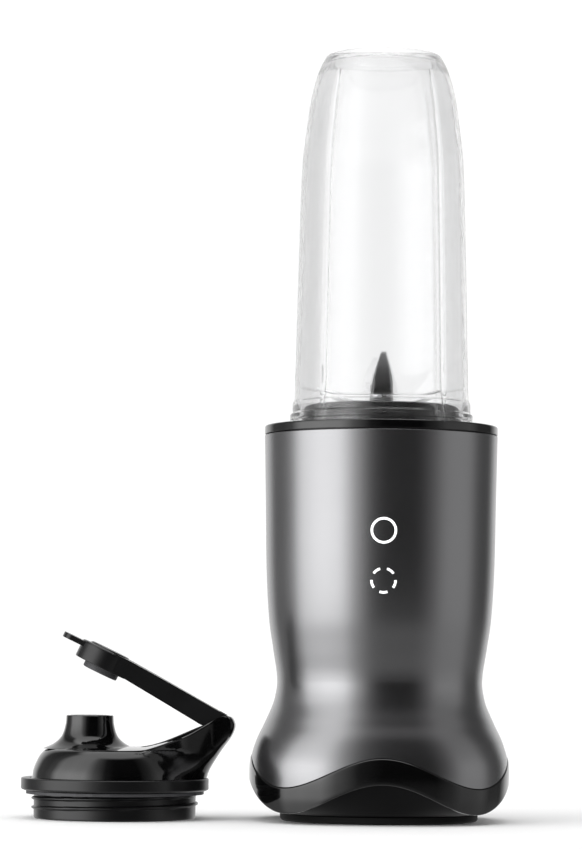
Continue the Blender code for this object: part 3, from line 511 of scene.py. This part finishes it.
def light_strip(name, height, start, span):
    """A slim lens along an arc, bent to the housing's face and standing a hair proud of it."""
    work = bmesh.new()
    whole = span == 360
    steps = 96 if whole else 14
    profile = [(-1, -0.0010), (-1, 0.0000), (-0.75, 0.00010), (0, 0.00016), (0.75, 0.00010), (1, 0.0000),
               (1, -0.0010)]
    rings = []
    for i in range(steps + (not whole)):
        angle = math.radians(start + span * i / steps)
        ring = []
        for across, proud in profile:
            reach = ICON_RADIUS + across * ICON_HALF_STROKE
            x, z = reach * math.cos(angle), height + reach * math.sin(angle)
            ring.append(work.verts.new((x, -math.sqrt(base_radius(z, 270) ** 2 - x * x) - proud, z)))
        rings.append(ring)
    if whole:
        for ring, following in zip(rings, rings[1:] + rings[:1]):
            bridge(work, ring, following)
    else:
        closed_tube(work, rings)
    return shape(name, work, lit)


def collar_section(angle):
    """The ring round the cup opening, with an entry slot in its lip for each of the cup's lugs."""
    in_slot = any(abs((angle - lug + 180) % 360 - 180) <= 7 for lug in LUG_ANGLES)
    lip = LUG_REACH + 0.0006 if in_slot else 0.0518
    skirt_outer, skirt_inner, edge = 0.0624, 0.0604, 0.0012
    return rounded([
        (lip, COLLAR_TOP, 0.0005), (COLLAR_RADIUS, COLLAR_TOP, edge),
        (COLLAR_RADIUS, HOUSING_TOP + GAP, 0.0003), (skirt_outer, HOUSING_TOP + GAP), (skirt_outer, 0.2080),
        (skirt_inner, 0.2080), (skirt_inner, 0.2150), (lip, 0.2150, 0.0003)])


def ring_section(angle):
    """The interlock ring: a ramp underneath over the plunger, and pockets for the cup's lugs."""
    from_plunger = (angle - 90 + 180) % 360 - 180
    if -TWIST <= from_plunger <= 0:
        depth = PLUNGER_TRAVEL * (1 + from_plunger / TWIST)
    else:
        depth = PLUNGER_TRAVEL if 0 < from_plunger <= 7.5 else 0
    low = WELL_LEDGE + GAP + depth
    in_pocket = any(abs((angle - lug + 180) % 360 - 180) <= 6.6 for lug in LUG_ANGLES)
    top = LUG_LOW - GAP if in_pocket else RING_TOP
    ease = 0.0003
    return rounded([(RING_INNER, top, ease), (RING_OUTER, top, ease), (RING_OUTER, low), (RING_INNER, low)])


def make_shells():
    for name, section, material, sides, slot, replaced in (
            ("housing_shell", housing_section, graphite, 200, "graphite_shell", "outer_housing"),
            ("trim_band", trim_section, gloss, 200, "gloss_black", "base_trim"),
            ("collar_ring", collar_section, gloss, 180, "gloss_black", "top_collar")):
        shown(lofted(name, section, material, sides), "motor_base", slot, replaced)


def make_controls():
    ring = light_strip("start_ring_lens", START_HEIGHT, 0, 360)
    shown(ring, "motor_base", "light_white", "start_light_ring")
    for i, angle in enumerate(DASH_ANGLES):
        lens = light_strip(f"pulse_dash_lens_{i + 1}", PULSE_HEIGHT, angle - DASH_SPAN / 2, DASH_SPAN)
        shown(lens, "motor_base", "light_white", f"pulse_light_dash_{i + 1}")


def make_foot():
    """A rubber disc with three grooves round its underside."""
    low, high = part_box("foot_pad")
    depth, radius = 0.0007, high.x
    outline = [(radius - 0.0010, low.z, 0.0006), (radius, low.z + 0.0012, 0.0005), (radius, high.z, 0.0003),
               (0, high.z), (0, low.z)]
    for middle in (0.016, 0.028, 0.040):
        outline += [(middle - 0.0016, low.z), (middle - 0.0012, low.z + depth),
                    (middle + 0.0012, low.z + depth), (middle + 0.0016, low.z)]
    shown(turned("foot_disc", outline, rubber, 160), "motor_base", "soft_rubber", "foot_pad")


def make_cup_well():
    """The well under the cup, and the interlock ring that turns on its ledge."""
    bowl = turned("well_bowl", [
        (WELL_RADIUS, 0.2146, 0.0004), (0.0601, 0.2146), (0.0601, 0.2124), (0.0570, 0.2124), (0.0570, 0.1932),
        (0.0477, 0.1932), (0.0477, 0.1755), (0.0150, 0.1755), (0.0150, 0.1840, 0.0004),
        (0.0170, 0.1840, 0.0004), (0.0170, WELL_FLOOR, 0.0008), (WELL_LOWER_RADIUS, WELL_FLOOR, 0.0015),
        (WELL_LOWER_RADIUS, WELL_LEDGE, 0.0006), (WELL_RADIUS, WELL_LEDGE, 0.0008)], satin, 144)
    shown(bowl, "motor_base", "satin_black", "cup_well")
    pocket_ends = [lug + side * 6.6 + turn for lug in LUG_ANGLES
                   for side in (-1, 1) for turn in (-0.05, 0.05)]
    band = lofted("lock_ring_band", ring_section, nylon, sorted([2 * i for i in range(180)] + pocket_ends))
    shown(band, "lock_ring", "nylon", "interlock_ring")


def coupling_teeth(name, low, high, first, material):
    middles = [first + 360 / TEETH * i for i in range(TEETH)]
    return sectors(name, 0.0075, 0.0124, low, high, middles, TOOTH_ANGLE, material)


def make_couplings():
    drive = turned("drive_disc", [
        (0.0043, 0.1833), (COUPLING_RADIUS, 0.1833, 0.0005), (COUPLING_RADIUS, 0.1720, 0.0010),
        (0.0090, 0.1700, 0.001), (0.0090, 0.1640), (0.0043, 0.1640)], nylon, 72)
    combine(drive, "UNION", coupling_teeth("drive_teeth", 0.1815, 0.1888, 0, nylon))
    shown(eased(drive, 0.0003, 2), "rotor", "nylon", "drive_coupling")
    driven = turned("driven_disc", [
        (SHAFT_BORE, 0.1996, 0.0003), (0.0095, 0.1996, 0.0005), (COUPLING_RADIUS, 0.1975, 0.0005),
        (COUPLING_RADIUS, 0.1896, 0.0005), (SHAFT_BORE, 0.1896)], nylon, 72)
    offset = TOOTH_ANGLE + (360 / TEETH - 2 * TOOTH_ANGLE - TWIST) / 2
    combine(driven, "UNION", coupling_teeth("driven_teeth", 0.1838, 0.1910, offset, nylon))
    shown(eased(driven, 0.0003, 2), "blade_rotor", "nylon", "driven_coupling")


# ---- blade unit ----
def thread_rise(height, angle, first, last, pitch):
    """How much of the thread stands at a place on its cylinder, from 0 to 1, with run-outs at both ends."""
    along = (height - first) / pitch - (angle % 360) / 360
    nearest = round(along)
    turns = nearest + (angle % 360) / 360
    end = (last - first) / pitch
    run_out = smooth_step(0, 0.12, turns) * smooth_step(0, 0.12, end - turns)
    off_crest = abs(along - nearest) * pitch
    return run_out * (1 - smooth_step(THREAD_CREST * 0.4, THREAD_CREST * 1.5, off_crest))


def threaded_section(before, after, core, ridge, low, high, pitch, steps):
    """Sections whose outer wall carries a helical thread from its high end down to its low end."""
    first, last = low + pitch * 0.2, high - pitch * 0.2

    def section(angle):
        wall = [(core + (ridge - core) * thread_rise(z, angle, first, last, pitch), z)
                for z in between(high, low, steps)]
        return [*before, *wall, *after]
    return section


def make_blade_holder():
    top, core = 0.2310, THREAD_CORE
    before = rounded([(0.0072, top), (core - 0.0004, top, 0.0018), (core, 0.2206)], False)
    after = rounded([(core, 0.2080), (core, 0.2030), (0.0500, 0.2030, 0.0006), (0.0500, 0.1992, 0.0008),
                     (0.0415, 0.1992, 0.0005), (0.0415, 0.2275, 0.0020), (0.0140, 0.2275, 0.001),
                     (0.0140, 0.2000), (0.0072, 0.2000)], False)
    section = threaded_section(before, after, core, THREAD_RIDGE, 0.2085, 0.2205, 0.0052, 34)
    shown(lofted("blade_base", section, gloss, 144), "blade_unit", "gloss_black", "blade_holder")
    low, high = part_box("holder_gasket")
    ease = 0.0007
    ring = turned("base_gasket", [(0.0454, high.z, ease), (high.x, high.z, ease), (high.x, low.z, ease),
                                  (0.0454, low.z, ease)], silicone, 144)
    shown(ring, "blade_unit", "silicone", "holder_gasket")


def blade(name, path, widths, turn):
    """A bent two-armed blade: flat on top, ground to an edge on each leading side, pierced for the shaft."""
    thick, hub, steps = 0.0012, 0.0085, 28
    rise = smooth_curve(path)
    width = smooth_curve([(point[0], half) for point, half in zip(path, widths)])
    tip = path[-1][0]
    work = bmesh.new()
    rows = []
    for i in range(-steps, steps + 1):
        reach = tip * i / steps
        distance = abs(reach)
        half, base = width(distance), rise(distance)
        grind = 0.6 * half * smooth_step(hub, hub + 0.004, distance)
        right, left = (grind, 0) if reach < 0 else (0, grind)
        corners = [(-half, base), (half, base), (half, base + thick * 0.25), (half - right, base + thick),
                   (-half + left, base + thick), (-half, base + thick * 0.25)]
        rows.append([work.verts.new((reach, y, z)) for y, z in corners])
    closed_tube(work, rows)
    obj = shape(name, work, steel, 20)
    combine(obj, "DIFFERENCE", rod("shaft_hole", SHAFT_BORE, (0, 0, 0.22), (0, 0, 0.26), steel))
    obj.data.transform(Matrix.Rotation(math.radians(turn), 4, "Z"))
    return obj


def make_blades():
    lower = blade("lower_blade_cross", [(0, 0.2351), (0.015, 0.2351), (0.024, 0.2370), (0.036, 0.2400)],
                  [0.007, 0.0066, 0.0055, 0.0017], 0)
    upper = blade("upper_blade_cross", [(0, 0.2367), (0.0125, 0.2372), (0.022, 0.2460), (0.029, 0.2580)],
                  [0.007, 0.0064, 0.0050, 0.0016], 90)
    shown(eased(lower, 0.00012, 2, 25), "blade_rotor", "steel", "lower_blade")
    shown(eased(upper, 0.00012, 2, 25), "blade_rotor", "steel", "upper_blade")
    low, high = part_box("blade_nut")
    across = high.x
    nut = turned("blade_hex_nut", [
        (SHAFT_BORE, high.z), (across - 0.0009, high.z), (across, high.z - 0.0007), (across, low.z + 0.0004),
        (across - 0.0005, low.z), (SHAFT_BORE, low.z)], steel, 6)
    shown(eased(nut, 0.00025, 3), "blade_rotor", "steel", "blade_nut")


# ---- cup ----
def cup_section(angle):
    """One clear moulding, mouth down: shoulder, side with an inner rib each quarter, lip, mouth and lugs."""
    rib = RIB_DEPTH * (1 - smooth_step(0.25, 1, abs(angle % 90 - 45) / RIB_HALF_ANGLE))
    on_lug = any(abs((angle - lug + 180) % 360 - 180) <= 6 for lug in LUG_ANGLES)
    lug = LUG_REACH if on_lug else MOUTH_RADIUS
    shoulder = rounded([(0, CUP_TOP), (0.0326, CUP_TOP, 0.0010), (cup_profile(0.4265), 0.4265)], False)
    side = [(cup_profile(z), z) for z in between(0.4245, 0.3890, 12) + between(0.3830, 0.2345, 20)]
    lip = rounded([(0.0490, 0.2335), (0.0500, 0.2324, 0.0008), (0.0500, 0.2270, 0.0004),
                   (0.0513, 0.2258, 0.0008), (0.0513, 0.2228, 0.0006), (MOUTH_RADIUS, 0.2219),
                   (MOUTH_RADIUS, LUG_HIGH + 0.0004)], False)[1:]
    lugs = [(lug, LUG_HIGH), (lug, LUG_LOW), (MOUTH_RADIUS, LUG_LOW - 0.0004)]
    rim = rounded([(MOUTH_RADIUS, LUG_LOW - 0.0005), (MOUTH_RADIUS, CUP_RIM, 0.0008),
                   (INNER_MOUTH, CUP_RIM, 0.0008), (INNER_MOUTH, 0.2125), (0.0468, 0.2142, 0.0004),
                   (0.0468, 0.2150, 0.0004), (INNER_MOUTH, 0.2166), (INNER_MOUTH, 0.2240, 0.002),
                   (cup_profile(0.2335) - CUP_WALL, 0.2300)], False)[:-1]
    inner = []
    for z in between(0.2335, 0.3830, 20) + between(0.3860, 0.4160, 10):
        here = rib * smooth_step(0.2320, 0.2350, z) * (1 - smooth_step(0.411, 0.416, z))
        inner.append((cup_profile(z) - CUP_WALL - here, z))
    ceiling = rounded([(cup_profile(0.4185) - CUP_WALL, 0.4185), (0.0316, 0.4238, 0.0030),
                       (0.0280, 0.4258, 0.0010), (0, 0.4258)], False)
    return [*shoulder, *side, *lip, *lugs, *rim, *inner, *ceiling]


def make_cup():
    round_ribs = {45 + 90 * quarter + side * turn for quarter in range(4) for side in (-1, 1)
                  for turn in (0.6, 1.2, 1.8, 2.4)}
    lug_ends = {lug + turn for lug in LUG_ANGLES for turn in (-6.05, 6.05)}
    angles = sorted({2.0 * i for i in range(180)} | round_ribs | lug_ends)
    shown(lofted("cup_clear", cup_section, clear, angles, sharp=60), "cup", "clear_cup", "cup")


# ---- travel lid ----
DOME_LOW, DOME_SHOULDER, SHOULDER_RADIUS = 0.0224, 0.0384, 0.0374
WEDGE_ANGLE, WEDGE_REACH = 62.8, 0.0370      # where the tail's sides leave the dome's shoulder
dome_side = smooth_curve([          # the dome's radius by height
    (DOME_LOW, 0.0461), (0.0262, 0.0456), (0.0296, 0.0445), (0.0335, 0.0427), (0.0362, 0.0408),
    (0.0378, 0.0390), (DOME_SHOULDER, SHOULDER_RADIUS)])
tail_rim = smooth_curve([           # the height of the tail's rim by distance from the lid's centre
    (-0.05, DOME_SHOULDER), (0.0130, DOME_SHOULDER), (0.0190, 0.0391), (0.0285, 0.0420),
    (0.0408, 0.0464), (0.0531, 0.0534), (0.0585, 0.0564), (0.0630, 0.0577)])
tail_end = smooth_curve([           # how far back the tail reaches by height
    (DOME_LOW, 0.0500), (0.0247, 0.0507), (0.0320, 0.0548), (0.0395, 0.0597), (0.0460, 0.0644),
    (0.0514, 0.0664), (0.0550, 0.0656), (0.0568, 0.0640), (0.0577, 0.0618)])


def blend_larger(a, b, reach):
    share = max(reach - abs(a - b), 0) / reach
    return max(a, b) + share * share * reach / 4


def lid_radius(angle, height):
    """The dome's outer wall: round, but drawn out into the tail on its +X side."""
    turn = min(abs(angle), 360 - abs(angle))
    dome = dome_side(height)
    if turn >= WEDGE_ANGLE:
        return dome
    slope = math.radians(turn)
    side = WEDGE_REACH / math.cos(math.radians(WEDGE_ANGLE - turn))
    ear = TAIL_HALF_WIDTH / max(math.sin(slope), 0.02)
    side = blend_larger(side, ear, 0.0080)
    crown = 0.0006 - 0.0020 * (math.sin(slope) / math.sin(math.radians(11))) ** 2
    end = (tail_end(height) + crown) / math.cos(slope)
    tail = -blend_larger(-side, -end, 0.0030)
    return blend_larger(dome, tail, 0.0090)


def lid_section(angle):
    """Up the wall to the rim, then in over the deck to the middle line, as points in space."""
    across = outwards(angle)
    rim = DOME_SHOULDER
    for _ in range(12):
        rim = 0.5 * rim + 0.5 * tail_rim(lid_radius(angle, rim) * math.cos(math.radians(angle)))
    edge = 0.0007 * smooth_step(0.0385, 0.0400, rim)
    foot, steps = DOME_LOW + 0.0002, 22
    wall = []
    for i in range(steps + 1):
        height = foot + (rim - edge - foot) * math.sin(math.pi / 2 * i / steps)
        wall.append(across * lid_radius(angle, height) + Vector((0, 0, height)))
    reach = lid_radius(angle, rim)
    rim_points = [across * (reach - 0.3 * edge) + Vector((0, 0, rim - 0.3 * edge)),
                  across * (reach - edge - 0.0002) + Vector((0, 0, rim))]
    start = rim_points[-1]
    deck = []
    for share in (0.92, 0.8, 0.6, 0.4, 0.2, 0.0):
        x, y = start.x, start.y * share
        crown = 0.0016 * max(1 - (x * x + y * y) / SHOULDER_RADIUS ** 2, 0)
        deck.append(Vector((x, y, rim + crown)))
    inside = [across * radius + Vector((0, 0, height)) for radius, height in (
        (0, 0.0377), (0.0200, 0.0373), (0.0340, 0.0358), (0.0400, 0.0330), (0.0432, 0.0300),
        (0.0444, 0.0260), (0.0444, 0.0193), (0.0466, 0.0193), (0.0466, DOME_LOW))]
    return inside + wall + rim_points + deck


def dome_shell():
    half = [1.5 * i for i in range(1, 8)] + [11.25 + 0.75 * i for i in range(35)]
    half += [40 + 3.5 * i for i in range(40)]
    turns = [0] + half + [180] + [-angle for angle in reversed(half)]
    centre = Vector((LID_X, 0, 0))
    work = bmesh.new()
    rings = [[work.verts.new(point + centre) for point in lid_section(angle)] for angle in turns]
    for ring, following in zip(rings, rings[1:] + rings[:1]):
        bridge(work, ring, following, closed=False)
    bmesh.ops.remove_doubles(work, verts=work.verts, dist=2e-6)
    return shape("dome_shell", work, gloss)


def make_lid_ring():
    before = rounded([(0.0472, 0.0190), (0.0472, 0.0224, 0.0004), (0.0522, 0.0224, 0.0009),
                      (0.0522, 0.0163, 0.0009), (0.0505, 0.0155, 0.0006), (THREAD_CORE, 0.0155, 0.0003),
                      (THREAD_CORE, 0.0150)], False)
    after = rounded([(THREAD_CORE, 0.0020), (THREAD_CORE, 0, 0.0012), (0.0420, 0, 0.0008),
                     (0.0420, 0.0190)], False)
    section = threaded_section(before, after, THREAD_CORE, THREAD_RIDGE, 0.00233, 0.0148, 0.0051, 44)
    ring = lofted("lid_thread_ring", section, satin, 160, (LID_X, 0, 0))
    shown(ring, "travel_lid", "satin_black", "lid_ring")


def spout_cone():
    low = 0.0385
    flare = smooth_curve([(low, 0.0262), (0.0405, 0.0213), (0.0430, 0.0177), (0.0460, 0.0153),
                          (0.0520, 0.0135), (SPOUT_TOP, SPOUT_RADIUS)])
    side = [(flare(z), z) for z in between(SPOUT_TOP - 0.0004, low, 24)]
    brim = [(SPOUT_RADIUS - 0.0007, SPOUT_TOP), (SPOUT_RADIUS - 0.0002, SPOUT_TOP - 0.0001)]
    return turned("spout", [(0, SPOUT_TOP), *brim, *side, (0, low)], gloss, 96, (SPOUT_X, 0, 0))


def make_lid_dome():
    """The dome with its spout, and a slot on each side of the hinge's bed for the arm's cheeks."""
    dome = combine(dome_shell(), "UNION", spout_cone())
    bore = rod("bore", SPOUT_BORE, (SPOUT_X, 0, 0.030), (SPOUT_X, 0, 0.070), gloss, 96)
    slots = [box_cutter("slot", (HINGE.x - 0.025, low, HINGE.z - 0.0074),
                        (HINGE.x + 0.012, high, HINGE.z + 0.012), gloss)
             for low, high in ((-0.0104, -BED_HALF_WIDTH), (BED_HALF_WIDTH, 0.0104))]
    combine(dome, "DIFFERENCE", bore, *slots)
    dome.data.set_sharp_from_angle(angle=math.radians(CUT_SHARP_ANGLE))
    shown(dome, "travel_lid", "gloss_black", "lid_dome")


def make_hinge_bed():
    crest = smooth_curve([(0.0140, 0.0398), (0.0200, 0.0408), (0.0281, 0.0433), (0.0380, 0.0474),
                          (0.0470, 0.0513), (0.0548, 0.0541)])
    outline = [(LID_X + x, z) for x, z in ((0.0140, 0.0372), (0.0300, 0.0352), (0.0550, 0.0400))]
    for angle in between(-45, 110, 10):
        outline.append((HINGE.x + 0.0046 * math.cos(math.radians(angle)),
                        HINGE.z + 0.0046 * math.sin(math.radians(angle))))
    outline += [(LID_X + x, crest(x)) for x in between(0.0548, 0.0140, 12)]
    bed = prism("hinge_bed", outline, -BED_HALF_WIDTH, BED_HALF_WIDTH, gloss)
    shown(eased(bed, 0.0006), "travel_lid", "gloss_black")


def arm_beam():
    """The arm from the knuckle to the head about the hinge, growing wider towards the head."""
    under = smooth_curve([(-0.0720, -0.0010), (-0.0646, -0.0017), (-0.0116, -0.0064)])
    top = smooth_curve([(-0.0720, 0.0081), (-0.0610, 0.0081), (0.0, 0.0045)])
    work = bmesh.new()
    rows = []
    for x in between(-0.0720, -0.0116, 24):
        half = ARM_HALF_WIDTH + 0.0048 * smooth_step(0.024, 0.068, -x)
        rows.append([(x, -half, under(x)), (x, half, under(x)), (x, half, top(x)), (x, -half, top(x))])
    for radius, angle in ((0.0045, -110), (0.0045, -100)):
        x, z = radius * math.cos(math.radians(angle)), radius * math.sin(math.radians(angle))
        rows.append([(x, -ARM_HALF_WIDTH, z), (x, ARM_HALF_WIDTH, z), (x, ARM_HALF_WIDTH, top(x)),
                     (x, -ARM_HALF_WIDTH, top(x))])
    closed_tube(work, [[work.verts.new(corner) for corner in row] for row in rows])
    beam = shape("flip_arm_shell", work, satin)
    knuckle = rod("knuckle", 0.0045, (0, -ARM_HALF_WIDTH, 0), (0, ARM_HALF_WIDTH, 0), satin)
    return combine(beam, "UNION", knuckle)


def thumb_tab(reach):
    """A flat tongue in front of the arm's head, round at its end."""
    low, high, half, root = 0.0040, 0.0069, 0.0085, -reach - 0.010
    plan = [(root, -half)]
    for angle in between(-90, 90, 16):
        turn = math.radians(angle)
        plan.append((-ARM_LENGTH + half * 0.6 * (1 - math.cos(turn)), half * math.sin(turn)))
    plan.append((root, half))
    work = bmesh.new()
    closed_tube(work, [[work.verts.new((x, y, z)) for x, y in plan] for z in (low, high)])
    return shape("tab", work, satin)


def make_flip_cap():
    """Shaped shut and level about the hinge, then turned open as it rests."""
    reach = HINGE.x - SPOUT_X
    middle = (-reach, 0, 0)
    seat, skirt_low, skirt_outer, skirt_inner = 0.0044, -0.0024, 0.0165, 0.0144
    head = turned("head", [(0, 0.0089), (0.0110, 0.0089, 0.0006), (0.0122, 0.0080, 0.0004),
                           (skirt_outer, 0.0078, 0.0014), (skirt_outer, skirt_low, 0.0007), (0, skirt_low)],
                  satin, 96, middle)
    arm = combine(arm_beam(), "UNION", head, thumb_tab(reach))
    clearance = BED_HALF_WIDTH + GAP
    hollow = box_cutter("hollow", (-reach, -clearance, -0.0100), (0.0080, clearance, 0.0023), satin)
    knuckle_room = rod("knuckle_room", 0.0072, (0, -clearance, 0), (0, clearance, 0), satin)
    socket = rod("socket", skirt_inner, (-reach, 0, -0.0100), (-reach, 0, seat), satin, 96)
    combine(arm, "DIFFERENCE", hollow, knuckle_room, socket)
    arm.data.set_sharp_from_angle(angle=math.radians(CUT_SHARP_ANGLE))
    plug = turned("spout_plug_seal", [
        (0, seat - GAP), (0.0102, seat - GAP, 0.0004), (0.0102, -0.0056, 0.0009), (0.0078, -0.0056, 0.0004),
        (0.0074, -0.0040, 0.0004), (0, -0.0040)], silicone, 96, middle)
    opened = Matrix.Translation(HINGE) @ Matrix.Rotation(math.radians(ARM_REST_ANGLE), 4, "Y")
    for piece in (arm, plug):
        piece.data.transform(opened)
    shown(eased(arm, 0.0004, 2), "flip_cap", "satin_black", "flip_arm")
    shown(plug, "flip_cap", "silicone", "spout_plug")


# ---- studio ----
SOFTBOX_LEVELS = (                  # (bearing from the viewer's side towards +X, level) all round the object
    (-180, 1.10), (-146, 1.10), (-134, 0.26), (-114, 0.36), (-100, 0.8), (-88, 3.3), (-64, 4.3),
    (-42, 4.1), (-28, 1.5), (-12, 0.16), (2, 0.0), (38, 0.0), (54, 0.34), (66, 0.85), (96, 0.85),
    (110, 0.24), (134, 0.10), (150, 1.10), (180, 1.10))
HIGH_SHARE = 0.62                   # how much of the soft boxes is left well above the horizon
LOW_SHARE, LOW_GLOW = 0.30, 0.38    # how much of them the floor gives back, and the even glow that it adds
TOP_LIGHT, BACKDROP_LEVEL = 2.45, 1.06
LOW_FADE, HIGH_FADE = (0.02, 0.36), (0.15, 0.70)    # sines of the angles below and above the horizon
TOP_FADE = (math.sin(math.radians(56)), math.sin(math.radians(68)))
EVEN_SHARE, EVEN_LEVEL = 0.7, 1.12  # the part of the floor's light that comes evenly from all round
THROUGH_CUP = (0.10, 0.97)          # light passed on by clear plastic: bent far aside, and straight through
STRAIGHT_FADE = (0.25, 0.95)        # how near to the line of sight a passed ray runs, as a cosine


def softbox_ramp(tree, share):
    """The soft boxes' levels round the object as shares of the highest level, and that level."""
    ramp = tree.nodes.new("ShaderNodeValToRGB")
    ramp.color_ramp.interpolation = "LINEAR"
    highest = max(level for _, level in SOFTBOX_LEVELS)
    stops = ramp.color_ramp.elements
    while len(stops) > 1:
        stops.remove(stops[-1])
    for i, (angle, level) in enumerate(SOFTBOX_LEVELS):
        stop = stops[0] if i == 0 else stops.new((angle + 180) / 360)
        stop.position = (angle + 180) / 360
        stop.color = (level / highest, level / highest, level / highest, 1)
    tree.links.new(share, ramp.inputs[0])
    return ramp.outputs[0], highest


def make_world():
    """Soft boxes and dark flags as bands round the object, a light from above and a white backdrop."""
    world = bpy.data.worlds.new("studio")
    bpy.context.scene.world = world
    world.use_nodes = True
    tree = world.node_tree
    tree.nodes.clear()
    link = tree.links.new

    def number(operation, first, second=None, third=None):
        node = tree.nodes.new("ShaderNodeMath")
        node.operation = operation
        for socket, value in zip(node.inputs, (first, second, third)):
            if isinstance(value, (int, float)):
                socket.default_value = value
            elif value is not None:
                link(value, socket)
        return node.outputs[0]

    def step(value, low, high):
        node = tree.nodes.new("ShaderNodeMapRange")
        node.interpolation_type = "SMOOTHSTEP"
        link(value, node.inputs["Value"])
        node.inputs["From Min"].default_value = low
        node.inputs["From Max"].default_value = high
        return node.outputs["Result"]

    def swap(share, before, after):
        return number("MULTIPLY_ADD", share, number("SUBTRACT", after, before), before)

    place = tree.nodes.new("ShaderNodeTexCoord")
    split = tree.nodes.new("ShaderNodeSeparateXYZ")
    link(place.outputs["Generated"], split.inputs[0])
    x, y, z = split.outputs
    bearing = number("ARCTAN2", x, number("MULTIPLY", y, -1.0))
    share = number("MULTIPLY_ADD", bearing, 1 / (2 * math.pi), 0.5)
    bands = number("MULTIPLY", *softbox_ramp(tree, share))
    floor_light = number("MULTIPLY_ADD", bands, LOW_SHARE, LOW_GLOW)
    upper = number("MULTIPLY", bands, swap(step(z, *HIGH_FADE), 1.0, HIGH_SHARE))
    sides = swap(step(number("MULTIPLY", z, -1.0), *LOW_FADE), upper, floor_light)
    around = swap(step(z, *TOP_FADE), sides, TOP_LIGHT)
    path = tree.nodes.new("ShaderNodeLightPath").outputs
    unreflected = number("LESS_THAN", path["Glossy Depth"], 0.5)
    in_the_wall = number("LESS_THAN", path["Transmission Depth"], 2.5)
    clear_path = number("MULTIPLY", path["Is Transmission Ray"], number("MAXIMUM", unreflected, in_the_wall))
    through = swap(step(number("ABSOLUTE", y), *STRAIGHT_FADE), *THROUGH_CUP)
    around = swap(number("MULTIPLY", path["Is Diffuse Ray"], EVEN_SHARE), around, EVEN_LEVEL)
    level = swap(path["Is Camera Ray"], swap(clear_path, around, through), BACKDROP_LEVEL)
    light = tree.nodes.new("ShaderNodeBackground")
    light.inputs["Color"].default_value = (1, 1, 1, 1)
    link(level, light.inputs["Strength"])
    output = tree.nodes.new("ShaderNodeOutputWorld")
    link(light.outputs[0], output.inputs["Surface"])


def make_floor():
    """A pale sheet under the object. Its own reflection is left to the studio's lower half."""
    size = 6.0
    work = bmesh.new()
    corners = [work.verts.new((sx * size, sy * size, 0)) for sx, sy in ((-1, -1), (1, -1), (1, 1), (-1, 1))]
    work.faces.new(corners)
    material, shader = shader_of("pale_floor", (0.9, 0.9, 0.9), 0.9, Specular_IOR_Level=0.1)
    cloud = pattern(material, "Noise", 12, Detail=3.0)
    vary(material, shader, cloud, "Base Color", (0.89, 0.89, 0.89), (0.91, 0.91, 0.91))
    floor = shape("floor", work, material)
    floor.visible_glossy = False


def make_camera():
    """The photo's view: a long lens a little above the foot, tilted up."""
    data = bpy.data.cameras.new("camera")
    data.lens, data.sensor_width = 137.8, 36.0
    camera = bpy.data.objects.new("camera", data)
    bpy.context.scene.collection.objects.link(camera)
    distance, side, height, tilt, roll = 1.82, -0.0507, 0.09, 4.1, 0.5
    camera.matrix_world = (Matrix.Translation((side, -distance, height))
                           @ Matrix.Rotation(math.radians(90 + tilt), 4, "X")
                           @ Matrix.Rotation(math.radians(roll), 4, "Z"))
    bpy.context.scene.camera = camera
    bpy.context.scene.view_settings.view_transform = "Standard"


make_camera()
make_world()
make_floor()
dress_frame()
make_shells()
make_controls()
make_foot()
make_cup_well()
make_under_cover()
make_couplings()
make_blade_holder()
make_blades()
make_cup()
make_lid_ring()
make_lid_dome()
make_hinge_bed()
make_flip_cap()
